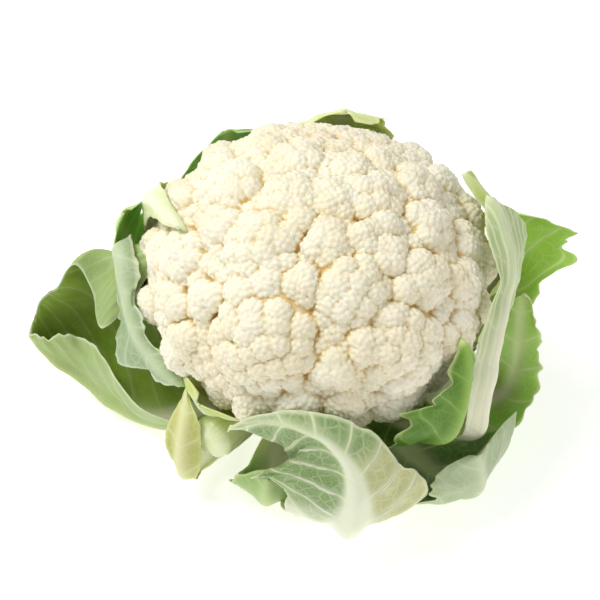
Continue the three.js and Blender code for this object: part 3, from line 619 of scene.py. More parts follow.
leaves = {
    "leaf_left_flap": {
        "rib": [
            (-16, -1, 34), (-46, 0, 38), (-70, 6, 50), (-84, 11, 70), (-86, 6, 87), (-83, -9, 80),
            (-79, -26, 70), (-69, -39, 62), (-60, -45, 56),
        ],
        "face": [
            (0, 0, 1), (0.2, 0, 1), (0.8, 0, 0.5), (1, 0, 0.2), (0.8, 0.1, -0.5), (0.6, 0.1, -0.7),
            (0.6, 0.3, -0.6), (0.6, 0.4, -0.7), (0.6, 0.5, -0.7),
        ],
        "left": {"width": [7, 10, 12, 10, 7, 6, 17, 6, 3], "roll": [5, 20, 30, 30, 20, 20, 15, 20, 10]},
        "right": {"width": [7, 10, 12, 10, 7, 6, 6, 5, 3], "roll": [5, 20, 30, 30, 20, 20, 20, 20, 10]},
        "teeth": 0.22, "toothCount": 7, "upper": "#94aa7c", "lower": "#92a97b", "vein": "#c9d6b0",
        "edge": "#dde6c8", "greenFrom": 0.1, "greenBy": 0.3, "ragged": 4.2, "netting": 0.5,
    },
    "leaf_left_rim": {
        "rib": [(-9, -13, 34), (-24, -31, 40), (-37, -46, 47), (-46, -57, 57), (-50, -62, 68)],
        "face": [(0, 0, 1), (0, 0, 1), (0.4, 0.5, 1), (0.65, 0.75, 0.2), (0.65, 0.75, 0)],
        "left": {"width": [7, 11, 16, 22, 16], "roll": [5, 10, 25, 35, 35]},
        "right": {"width": [7, 11, 16, 20, 14], "roll": [5, 10, 25, 35, 35]},
        "upper": "#c5cf74", "lower": "#c3d072", "edge": "#e3e7ac", "greenFrom": 0.1, "greenBy": 0.3,
    },
    "leaf_right_torn": {
        "rib": [
            (9, -13, 34), (24, -36, 37), (41, -57, 43), (54, -68, 54), (60, -66, 67), (63, -59, 80),
            (63, -49, 92),
        ],
        "face": [
            (0, 0, 1), (0, 0, 1), (-0.3, 0.4, 1), (-0.6, 0.8, 0.3), (-0.6, 0.8, 0), (-0.6, 0.8, -0.2),
            (-0.6, 0.8, -0.3),
        ],
        "right": {"width": [7, 12, 18, 24, 22, 10, 3], "roll": [5, 15, 20, 30, 35, 20, 10]},
        "left": {"width": [7, 12, 14, 12, 9, 6, 3], "roll": [5, 20, 30, 30, 30, 20, 10]},
        "toothCount": 8, "teeth": 0.2, "upper": "#437010", "lower": "#56851a", "vein": "#9fc25a",
        "edge": "#d3e09a", "ragged": 3.4, "greenFrom": 0.1, "greenBy": 0.3,
    },
    "leaf_right_point": {
        "rib": [
            (14, 1, 34), (40, 4, 40), (66, 6, 52), (81, 8, 70), (83, 10, 88), (77, 16, 104),
            (65, 24, 119),
        ],
        "face": [
            (0, 0, 1), (-0.2, 0, 1), (-0.8, 0, 0.6), (-1, 0, 0.2), (-1, 0, -0.2), (-0.9, 0, -0.4),
            (-0.9, 0, -0.5),
        ],
        "right": {"width": [7, 8, 9, 10, 10, 8, 2], "roll": [5, 10, 10, 20, 20, 20, 10]},
        "left": {"width": [7, 8, 10, 12, 12, 9, 2], "roll": [5, 10, 10, 20, 20, 20, 10]},
        "upper": "#b9cc5c", "lower": "#c3d46c", "vein": "#dfe8a8", "ragged": 1.6,
    },
    "leaf_back_frill": {
        "rib": [
            (1, 16, 34), (3, 42, 38), (7, 66, 47), (10, 81, 64), (11, 84, 83), (12, 79, 99),
            (14, 66, 112),
        ],
        "face": [
            (0, 0, 1), (0, -0.1, 1), (0, -0.6, 1), (0, -1, 0.3), (0, -1, 0), (0, -1, -0.3), (0, -0.8, -1),
        ],
        "right": {"width": [7, 12, 20, 26, 28, 22, 16], "roll": [5, 15, 30, 35, 35, 30, 20]},
        "left": {"width": [7, 12, 20, 26, 28, 20, 12], "roll": [5, 15, 30, 35, 35, 30, 20]},
        # partly painted light: the frill's own pale yellow-green is lightened further to stand in for light
        # shining through it from behind
        "toothCount": 8, "wave": 3, "waveCount": 4, "upper": "#d9ea84", "lower": "#dceb94",
        "vein": "#eaf1bc", "edge": "#eef4c6", "ragged": 3.4,
    },
    "leaf_far_left_tip": {
        "rib": [
            (-14, 8, 34), (-38, 22, 39), (-60, 36, 50), (-73, 41, 69), (-75, 33, 91), (-70, 14, 110),
            (-58, -12, 121),
        ],
        "face": [
            (0, 0, 1), (0, 0, 1), (0.5, -0.3, 1), (0.9, -0.5, 0.3), (0.9, -0.3, -0.3), (0.8, -0.1, -0.7),
            (0.6, 0.1, -0.8),
        ],
        "right": {"width": [7, 11, 15, 16, 11, 6, 2], "roll": [5, 15, 20, 30, 30, 20, 10]},
        "left": {"width": [7, 11, 15, 16, 11, 6, 2], "roll": [5, 15, 20, 30, 30, 20, 10]},
        "upper": "#d5e0a0", "lower": "#dce6ac", "vein": "#f0f4d2",
    },
    "leaf_right_tall": {
        "rib": [
            (13, -9, 34), (36, -29, 34), (56, -47, 34), (68, -56, 42), (71, -51, 58), (74, -42, 74),
            (78, -31, 88), (82, -18, 100), (80, -4, 111), (75, 8, 120),
        ],
        "face": [
            (0, 0, 1), (0, 0, 1), (-0.4, 0.4, 1), (-0.7, 0.7, 0.5), (-0.8, 0.6, 0), (-0.8, 0.6, 0),
            (-0.75, 0.6, -0.1), (-0.7, 0.65, -0.2), (-0.7, 0.7, -0.2), (-0.7, 0.7, -0.2),
        ],
        "right": {
            "width": [7, 9, 9, 8, 10, 12, 11, 10, 10, 3], "roll": [5, 10, 10, 10, 10, 10, 10, 10, 10, 10],
        },
        "left": {
            "width": [7, 9, 9, 8, 8, 9, 11, 15, 16, 4], "roll": [5, 10, 10, 10, 10, 10, 10, 10, 10, 10],
        },
        "teeth": 0.02, "upper": "#b7c78c", "lower": "#b4c58a", "vein": "#dde5bd", "pale": "#eeeccf",
        "greenFrom": 0.35, "greenBy": 0.68, "netting": 0.1, "stripes": 0.8,
    },
    "leaf_far_left": {
        "rib": [(-15, 6, 22), (-44, 20, 20), (-71, 32, 29), (-86, 36, 50), (-89, 32, 73), (-85, 25, 92)],
        "face": [(0, 0, 1), (0, 0, 1), (0.4, -0.2, 1), (0.9, -0.4, 0.3), (0.9, -0.4, 0), (0.9, -0.4, -0.2)],
        "right": {"width": [7, 12, 18, 20, 17, 8], "roll": [5, 15, 25, 30, 30, 20]},
        "left": {"width": [7, 12, 15, 17, 16, 8], "roll": [5, 15, 25, 30, 30, 20]},
        "upper": "#86c23a", "lower": "#92c84e", "vein": "#c4de86", "ragged": 3.4,
    },
    "leaf_back": {
        "rib": [(5, 15, 22), (12, 46, 18), (20, 76, 25), (25, 89, 45), (25, 88, 66), (22, 82, 82)],
        "face": [(0, 0, 1), (0, 0, 1), (0, -0.4, 1), (-0.2, -1, 0.3), (-0.2, -1, 0), (-0.2, -1, -0.2)],
        "right": {"width": [7, 14, 22, 26, 22, 8], "roll": [5, 15, 25, 35, 35, 25]},
        "left": {"width": [7, 14, 22, 26, 22, 8], "roll": [5, 15, 25, 35, 35, 25]},
        "upper": "#9ac45a", "lower": "#b4cc86", "ragged": 2.6,
    },
    "leaf_right_flag": {
        "rib": [(15, 5, 22), (46, 8, 20), (72, 9, 30), (85, 10, 54), (85, 14, 77), (84, 20, 97)],
        "face": [(0, 0, 1), (0, 0, 1), (-0.5, -0.1, 1), (-0.8, -0.5, 0.3), (0, -0.9, 0.4), (0, -0.9, 0.4)],
        "right": {"width": [7, 10, 12, 12, 29, 22], "roll": [5, 10, 10, 10, 10, 10]},
        "left": {"width": [7, 10, 14, 14, 7, 4], "roll": [5, 15, 25, 20, 10, 10]},
        "teeth": 0.13, "toothCount": 8, "upper": "#9ac840", "lower": "#a6cd50", "vein": "#d3e297",
        "pale": "#d3e0a6", "greenFrom": 0.5, "greenBy": 0.68, "ragged": 3.0,
    },
    "leaf_right_veined": {
        "rib": [
            (15, -5, 22), (44, -14, 18), (70, -22, 18), (84, -27, 27), (89, -25, 43), (90, -19, 60),
            (90, -11, 77),
        ],
        "face": [
            (0, 0, 1), (0, 0, 1), (-0.4, -0.2, 1), (-0.5, -0.7, 0.6), (-0.3, -0.9, 0.3),
            (-0.2, -0.9, 0.3), (-0.2, -0.9, 0.3),
        ],
        "right": {"width": [7, 13, 17, 15, 12, 9, 5], "roll": [5, 15, 15, 20, 20, 20, 20]},
        "left": {"width": [7, 13, 18, 18, 14, 9, 5], "roll": [5, 15, 20, 20, 20, 20, 20]},
        "upper": "#9fcb56", "lower": "#a8d064", "vein": "#cfe09c", "ragged": 3.0, "greenFrom": 0.25,
        "greenBy": 0.42,
    },
    "leaf_left_drop": {
        "rib": [
            (-12, -15, 22), (-35, -37, 15), (-54, -53, 12), (-59, -65, 20), (-59, -61, 38),
            (-55, -48, 57),
        ],
        "face": [(0, 0, 1), (0, 0, 1), (0.3, 0.4, 1), (0.5, 0.8, 0.2), (0.5, 0.8, -0.1), (0.5, 0.8, -0.3)],
        "right": {"width": [7, 5, 5, 7, 9, 2.5], "roll": [5, 5, 10, 20, 20, 10]},
        "left": {"width": [7, 5, 5, 7, 8, 2.5], "roll": [5, 5, 10, 20, 20, 10]},
        "upper": "#babc60", "lower": "#bcbf6a", "vein": "#e6e6b2", "edge": "#dde09a", "ragged": 2.0,
    },
    "leaf_front_low": {
        "rib": [
            (-7, -16, 10), (-13, -42, 8.5), (-19, -63, 8.5), (-22, -74, 13), (-22, -77, 23),
            (-21, -76, 32),
        ],
        "face": [(0, 0, 1), (0, 0, 1), (0, 0.4, 1), (0.2, 1, 0.5), (0.2, 1, 0.1), (0.2, 1, 0)],
        "left": {"width": [8, 12, 20, 26, 24, 8], "roll": [5, 10, 20, 20, 20, 20]},
        "right": {"width": [8, 12, 15, 18, 16, 5], "roll": [5, 10, 20, 25, 25, 10]},
        "upper": "#6f9a3c", "lower": "#9cb96c", "vein": "#c5d894", "ragged": 2.6, "greenBy": 0.4,
    },
    "leaf_right_low": {
        "rib": [(11, -12, 10), (32, -35, 8.5), (52, -57, 8.5), (66, -71, 14), (71, -74, 28), (69, -71, 41)],
        "face": [(0, 0, 1), (0, 0, 1), (-0.3, 0.3, 1), (-0.7, 0.7, 0.4), (-0.7, 0.7, 0.1), (-0.7, 0.7, 0)],
        "right": {"width": [8, 14, 20, 25, 24, 18], "roll": [5, 15, 30, 45, 45, 40]},
        "left": {"width": [8, 15, 28, 38, 38, 26], "roll": [5, 10, 20, 30, 30, 30]},
        "upper": "#6f944a", "lower": "#b6c69c", "vein": "#dbe3c0", "pale": "#d3dfae", "greenFrom": 0.1,
        "greenBy": 0.35, "ragged": 2.4,
    },
    "leaf_left": {
        "rib": [
            (-16, 0, 10), (-45, -19, 9), (-72, -27, 9), (-94, -18, 10), (-107, -10, 14), (-118, -6, 23),
            (-126, -5, 33), (-131, -6, 42),
        ],
        "face": [(0, 0, 1), (0, 0, 1), (0, 0, 1), (0, 0, 1), (0, 0, 1), (0, 0, 1), (0, 0, 1), (0.2, 0, 1)],
        "left": {
            "width": [9, 18, 25, 31, 30, 23, 13, 3], "lift": [0, 5, 30, 68, 76, 74, 66, 60],
            "roll": [5, 40, 50, 36, 32, 26, 20, 10],
        },
        "right": {
            "width": [9, 34, 76, 125, 92, 50, 23, 3], "lift": [0, 5, 30, 40, 42, 52, 60, 60],
            "roll": [5, 40, 60, 70, 60, 50, 40, 10], "fold": [130],
            "foldAt": [1.2, 1.2, 1.1, 0.69, 0.8, 1.1, 1.2, 1.2],
        },
        "wave": 1.5, "upper": "#8ba83a", "lower": "#a2b878", "vein": "#c2cf88", "edge": "#e3e9ca",
        "greenFrom": 0.02, "greenBy": 0.2, "netting": 0.2, "veining": 0.5, "ragged": 2.2,
    },
    "leaf_front": {
        "rib": [
            (2, -16, 10), (6, -48, 8.5), (10, -77, 8), (14, -94, 21), (17, -96, 42), (14, -91, 63),
            (2, -85, 78), (-18, -80, 80), (-37, -78, 71),
        ],
        "face": [
            (0, 0, 1), (0, 0.1, 1), (0, 0.6, 1), (0, 1, 0.4), (0, 1, 0), (0, 1, 0.1), (0, 1, 0.1),
            (0, 1, 0), (0.2, 1, 0),
        ],
        "left": {"width": [9, 18, 29, 35, 32, 18, 9, 4, 3], "roll": [5, 15, 30, 45, 45, 30, 20, 10, 10]},
        "right": {"width": [9, 18, 27, 29, 31, 43, 38, 30, 3], "roll": [5, 15, 25, 25, 15, 10, 5, 5, 5]},
        "upper": "#5f8a3a", "lower": "#829e60", "lowerLeft": "#bcbc84", "vein": "#dfe7bc",
        "pale": "#e8ecd0", "edge": "#dfe5bd", "greenFrom": 0.5, "greenBy": 0.6, "netting": 0.5,
        "veining": 1.0, "leftGreen": 0.14, "rightGreen": 0.12, "veinSize": 0.95, "veinsFrom": 0.4,
        "veinStart": 8,
    },
    "leaf_back_left": {
        "rib": [
            (-9, 13, 10), (-25, 40, 8.5), (-40, 66, 11), (-46, 80, 28), (-47, 82, 50), (-44, 79, 72),
            (-41, 74, 93),
        ],
        "face": [
            (0, 0, 1), (0, 0, 1), (0.2, -0.4, 1), (0.5, -0.85, 0.3), (0.5, -0.85, 0), (0.5, -0.85, -0.2),
            (0.5, -0.85, -0.3),
        ],
        "right": {"width": [8, 16, 24, 28, 30, 28, 20], "roll": [5, 15, 25, 35, 40, 40, 30]},
        "left": {"width": [8, 16, 24, 28, 30, 28, 22], "roll": [5, 15, 25, 35, 40, 40, 30]},
        "teeth": 0.14, "toothCount": 6, "upper": "#62a22c", "lower": "#70ac3c", "vein": "#a8c870",
        "ragged": 5.0,
    },
    "leaf_back_right": {
        "rib": [(12, 11, 10), (34, 34, 8.5), (54, 56, 10), (67, 69, 24), (70, 70, 40), (66, 65, 56)],
        "face": [
            (0, 0, 1), (0, 0, 1), (-0.3, -0.3, 1), (-0.7, -0.7, 0.3), (-0.7, -0.7, 0), (-0.7, -0.7, -0.2),
        ],
        "right": {"width": [8, 16, 26, 32, 28, 10], "roll": [5, 15, 25, 35, 35, 25]},
        "left": {"width": [8, 16, 26, 32, 28, 10], "roll": [5, 15, 25, 35, 35, 25]},
        "upper": "#7aa446", "lower": "#a5bd7c",
    },
}


def along(stations, share):
    # smoothly through evenly spaced numbers or points
    stations = np.asarray(stations, dtype=float)
    last = len(stations) - 1
    if last == 0:
        return np.broadcast_to(stations[0], share.shape + stations.shape[1:])
    place = np.clip(share, 0, 1) * last
    k = np.minimum(np.floor(place).astype(int), last - 1)
    f = place - k
    if stations.ndim > 1:
        f = f[:, None]
    a, b, c, d = (stations[np.clip(k + step, 0, last)] for step in (-1, 0, 1, 2))
    square, cube = 2 * a - 5 * b + 4 * c - d, 3 * b - a - 3 * c + d
    return 0.5 * (2 * b + (c - a) * f + square * f ** 2 + cube * f ** 3)


def halfProfile(half, share, u):
    # where the half's cross-section gets to: it starts at the lift, rolls evenly and turns once at the fold
    steps = 64
    t = (np.arange(steps) + 0.5) / steps
    width = np.maximum(0.5, along(half["width"], share))
    lift = along(half.get("lift", [0]), share)[:, None]
    roll = along(half["roll"], share)[:, None]
    fold = along(half.get("fold", [0]), share)[:, None]
    foldAt = along(half.get("foldAt", [2]), share)[:, None]
    angle = np.radians(lift + roll * t + fold * np.clip((t - foldAt) / leafForm["foldLength"] + 0.5, 0, 1))
    start = np.zeros((len(share), 1))
    run = np.concatenate([start, np.cumsum(np.cos(angle), axis=1)], axis=1) / steps
    rise = np.concatenate([start, np.cumsum(np.sin(angle), axis=1)], axis=1) / steps
    place = u * steps
    k = np.minimum(np.floor(place).astype(int), steps - 1)
    f = place - k
    read = lambda table: (table[:, k] * (1 - f) + table[:, k + 1] * f) * width[:, None]
    return read(run), read(rise), width


def ripple(draw, places, longest, count=5):
    # a seeded smooth wobble between about -1 and 1, over places of one or two dimensions
    places = np.atleast_2d(places) if np.ndim(places) == 1 else places
    total = 0
    for k in range(count):
        size = 2 * math.pi * 1.6 ** k / longest
        way = unit(draw.normal(size=len(places)))
        total = total + np.sin(size * np.tensordot(way, places, axes=1) + draw.uniform(*anyTurn)) / 1.35 ** k
    return total / 2.4


def toothed(draw, length, pitch):
    # forward-pointing teeth of uneven size along a margin, between 0 and 1
    place = length / pitch + 0.5 * ripple(draw, length, 45, 3).ravel()
    rising = place % 1
    tooth = np.where(rising < 0.7, rising / 0.7, (1 - rising) / 0.3)
    return tooth * (0.55 + 0.45 * ripple(draw, length, 30, 3).ravel())


def leafSheet(leaf, share, across, draw):
    # the blade's middle surface, and each place's distance from the rib and from the margin
    growth = along(leaf["rib"], share + 0.02) - along(leaf["rib"], share - 0.02)
    face = unit(along(leaf["face"], share))
    outwards = unit(np.cross(growth, face))
    rib = along(leaf["rib"], share)
    length = np.concatenate([[0], np.cumsum(np.linalg.norm(np.diff(rib, axis=0), axis=1))])
    sheet = np.empty((len(share), len(across), 3))
    distance = np.empty((len(share), len(across)))
    margin = np.empty((len(share), len(across)))
    tip = np.clip((share - leafForm["tipFrom"]) / leafForm["tipLength"], 0, 1)
    rounding = np.sqrt(np.maximum(1 - tip ** 2, 0.02))[:, None]
    ramped = np.clip(3 * share - 0.8, 0, 1)[:, None]
    for hand, key in ((-1, "left"), (1, "right")):
        columns = across < 0 if hand < 0 else across >= 0
        u = np.abs(across[columns])
        run, rise, width = halfProfile(leaf[key], share, u)
        w = width[:, None]
        grown = ramped * u ** 2
        tooth = leaf["teeth"] * w * np.sin(2 * math.pi * leaf["toothCount"] * share + hand)[:, None] * grown
        fine = toothed(draw, length, leafForm["toothPitch"])
        fine = fine + 0.6 * ripple(draw, length, 19, 4).ravel() - 0.4
        full = np.clip(w / leafForm["fullTeeth"], 0, 1)
        tooth = tooth + leaf["ragged"] * ramped * fine[:, None] * u ** 5 * full
        wave = leaf["wave"] * np.sin(2 * math.pi * leaf["waveCount"] * share + 1.7 * hand)[:, None] * grown
        ruffle = ripple(draw, length, leafForm["ruffleLength"], 3)
        full = np.clip(w / leafForm["fullRuffle"], 0, 1)
        wave = wave + leafForm["ruffle"] * ruffle[:, None] * ramped * u ** 4 * full
        outer = (run * (1 + tooth / w)) * rounding + wave * np.minimum(1, rise / w)
        inner = (rise * (1 + tooth / w)) * rounding + wave * np.maximum(0, run / w)
        sheet[:, columns] = rib[:, None] + hand * outwards[:, None] * outer[..., None]
        sheet[:, columns] += face[:, None] * inner[..., None]
        distance[:, columns] = hand * u * w * rounding
        margin[:, columns] = (1 - u) * w * rounding
    return sheet, length, distance, margin


def ribDepth(share, distance):
    # how far the rib stands out under the blade
    half, thick = leafForm["ribHalfWidth"], leafForm["ribThickness"]
    half = half + (leafForm["ribTipHalfWidth"] - half) * np.sqrt(share)
    thick = thick + (leafForm["ribTipThickness"] - thick) * share ** 0.7
    return thick * smooth(1 - np.abs(distance) / (leafForm["ribSpread"] * half))


def veinTree():
    # tapered tubes along the veins' courses
    sizes = {"veinScale": "Float", "sides": "Int", "finish": "Material"}
    tree, start, end = newGeometryTree("veinTubes", sizes)
    curves = addNode(tree, "GeometryNodeMeshToCurve", {0: start.outputs[0]})
    radius = addNode(tree, "GeometryNodeInputNamedAttribute", {"Name": "veinRadius"}, data_type="FLOAT")
    size = times(tree, radius.outputs[0], start.outputs["veinScale"])
    around = {"Resolution": start.outputs["sides"], "Radius": 1.0}
    ring = addNode(tree, "GeometryNodeCurvePrimitiveCircle", around)
    tubes = addNode(tree, "GeometryNodeCurveToMesh", {
        "Curve": curves.outputs[0], "Profile Curve": ring.outputs[0], "Scale": size, "Fill Caps": True,
    })
    endTree(tree, start, end, tubes.outputs[0])
    return tree


leafFields = ("flat", "share", "side", "ribNear", "edgeNear", "veinPhase")


def veinTubes(leaf, share, across, length, lower, distance, fields, tree, finish):
    # each side vein leaves the rib, leans forward and thins out before the margin
    points, edges, values = [], [], {key: [] for key in leafFields + ("veinRadius",)}
    total = length[-1]
    middle = np.searchsorted(across, 0)
    for hand in (-1, 1):
        first = int(total * leaf["veinsFrom"] / leafForm["veinPitch"]) + 1
        for k in range(first, int(total / leafForm["veinPitch"]) + 1):
            begin = k * leafForm["veinPitch"]
            row = np.interp(begin / total, share, np.arange(len(share)))
            width = abs(distance[int(row), 0 if hand < 0 else -1])
            if width < leaf["veinStart"] + 6:
                continue
            steps = max(13, int(width / leafForm["veinStep"]))
            out = np.linspace(leaf["veinStart"], leafForm["veinReach"] * width, steps)
            reached = begin + leafForm["veinLean"] * out + leafForm["veinCurve"] * out ** 2
            keep = reached < total * leafForm["lastVein"]
            out, reached = out[keep], reached[keep]
            if len(out) < 4:
                continue
            base = len(points)
            for step, (o, s) in enumerate(zip(out, reached)):
                i = min(int(round(np.interp(s, length, np.arange(len(share))))), len(share) - 1)
                side = np.abs(distance[i, :middle + 1][::-1] if hand < 0 else distance[i, middle:])
                f = np.interp(o, side, np.arange(len(side)))
                j = np.clip(middle - f if hand < 0 else middle + f, 0, len(across) - 1.001)
                j0, jf = int(j), j - int(j)
                points.append(lower[i, j0] * (1 - jf) + lower[i, j0 + 1] * jf)
                for key in leafFields:
                    values[key].append(fields[key][i, j0])
                thin = min(1, width / leafForm["fullVein"], (step + 1) / 3)
                taper = 1 - leafForm["veinTaper"] * step / steps
                values["veinRadius"].append(leaf["veinSize"] * taper * thin)
                if step:
                    edges.append((base + step - 1, base + step))
    if not edges:
        return None
    mesh = bpy.data.meshes.new("veinCourses")
    mesh.from_pydata((np.array(points) * millimetre).tolist(), edges, [])
    writeFields(mesh, values)
    courses = bpy.data.objects.new("veinCourses", mesh)
    scene.collection.objects.link(courses)
    sizes = {"veinScale": millimetre, "sides": leafForm["veinSides"], "finish": finish}
    tubes = runTree(courses, tree, sizes)
    bpy.data.objects.remove(courses)
    points, triangles, found = meshArrays(tubes, leafFields)
    found["ribNear"][:] = 0.8
    found["side"][:] = 0
    return points, triangles, found


def leafMaterial(name, leaf):
    made, tree, shader = newMaterial(name + "_skin")
    flat = storedField(tree, "flat", "Vector")
    share, side, ribNear, edgeNear, phase = (storedField(tree, key) for key in leafFields[1:])
    place = objectPlace(tree)
    blotches = cloud(tree, place, 45.0, 5.0)
    cloudy = cloud(tree, place, 14.0, 2.0)
    upper, lower, pale, vein, edge = (
        linearColour(leaf[key]) for key in ("upper", "lower", "pale", "vein", "edge")
    )
    darker = [c * 0.7 for c in upper[:3]] + [1.0]
    top = mixColours(tree, ramp(tree, blotches, 0.35, 0.75, 0, 0.6), upper, darker)
    sideways = addNode(tree, "ShaderNodeSeparateXYZ", {0: flat}).outputs[1]
    if leaf["lowerLeft"]:
        onRight, nearTip = ramp(tree, sideways, -0.001, 0.001), ramp(tree, share, 0.6, 0.68)
        rightShare = maths(tree, "MAXIMUM", onRight, nearTip)
        under = mixColours(tree, rightShare, leaf["lowerLeft"], lower)
    else:
        under = mixColours(tree, ramp(tree, blotches, 0.3, 0.7, 0, 0.4), lower, upper)
    colour = mixColours(tree, side, under, top)
    # the leaf greens from its pale stalk outwards, and last beside the rib
    ripe = maths(tree, "ADD", share, times(tree, cloudy, 0.16))
    ripe = maths(tree, "SUBTRACT", ripe, times(tree, ribNear, 0.22))
    ripe = maths(tree, "ADD", ripe, ramp(tree, sideways, -0.002, -0.014, 0, leaf["leftGreen"]))
    ripe = maths(tree, "ADD", ripe, ramp(tree, sideways, 0.002, 0.014, 0, leaf["rightGreen"]))
    paleShare = ramp(tree, ripe, leaf["greenFrom"] + 0.04, leaf["greenBy"] + 0.1, 1, 0)
    # side veins, the net between them and a finer net within it
    apart = times(tree, maths(tree, "PINGPONG", phase, 0.5), leafForm["veinPitch"] * 0.8)
    veinLine = ramp(tree, apart, 0.25, 0.95, 1, 0)
    veinGlow = ramp(tree, apart, 0.5, 3.5, 0.35, 0)
    bent = addNode(tree, "ShaderNodeTexNoise", {"Vector": flat, "Scale": 180.0, "Detail": 1.0})
    bent = vectorMaths(tree, "SCALE", {0: bent.outputs["Color"], "Scale": 0.003})
    bent = vectorMaths(tree, "ADD", {0: flat, 1: bent})
    net, fineNet = (
        addNode(tree, "ShaderNodeTexVoronoi", {"Vector": bent, "Scale": scale}, feature="DISTANCE_TO_EDGE")
        for scale in (160.0, 480.0)
    )
    netLine = ramp(tree, net.outputs["Distance"], 0.015, 0.085, 0.75, 0)
    fineLine = ramp(tree, fineNet.outputs["Distance"], 0.02, 0.14, 0.35, 0)
    nets = times(tree, maths(tree, "MAXIMUM", netLine, fineLine), leaf["netting"])
    veins = times(tree, maths(tree, "MAXIMUM", veinLine, veinGlow), leaf["veining"])
    lines = maths(tree, "MAXIMUM", veins, nets)
    lines = times(tree, lines, ramp(tree, share, 0.1, 0.35, 0, 0.9))
    if leaf["stripes"]:
        lanes = times(tree, sideways, 1 / (leafForm["stripePitch"] * millimetre))
        lanes = maths(tree, "PINGPONG", lanes, 1.0)
        lines = maths(tree, "MAXIMUM", lines, ramp(tree, lanes, 0.2, 0.55, leaf["stripes"], 0))
    colour = mixColours(tree, lines, colour, vein)
    colour = mixColours(tree, times(tree, ribNear, 0.85), colour, vein)
    colour = mixColours(tree, paleShare, colour, pale)
    colour = mixColours(tree, times(tree, edgeNear, 0.75), colour, edge)
    grain = cloud(tree, place, 1400.0, 3.0)
    grooves = times(tree, lines, 0.8)
    relief = maths(tree, "SUBTRACT", times(tree, grain, 0.35), grooves)
    bump = addNode(tree, "ShaderNodeBump", {"Height": relief, "Strength": 0.5, "Distance": 0.0005})
    setInputs(tree, shader, {
        "Base Color": colour, "Normal": bump.outputs[0], "Roughness": 0.46, "Specular IOR Level": 0.4,
        "Subsurface Weight": 0.3, "Subsurface Radius": (0.8, 1.0, 0.3), "Subsurface Scale": 0.0016,
    })
    return made


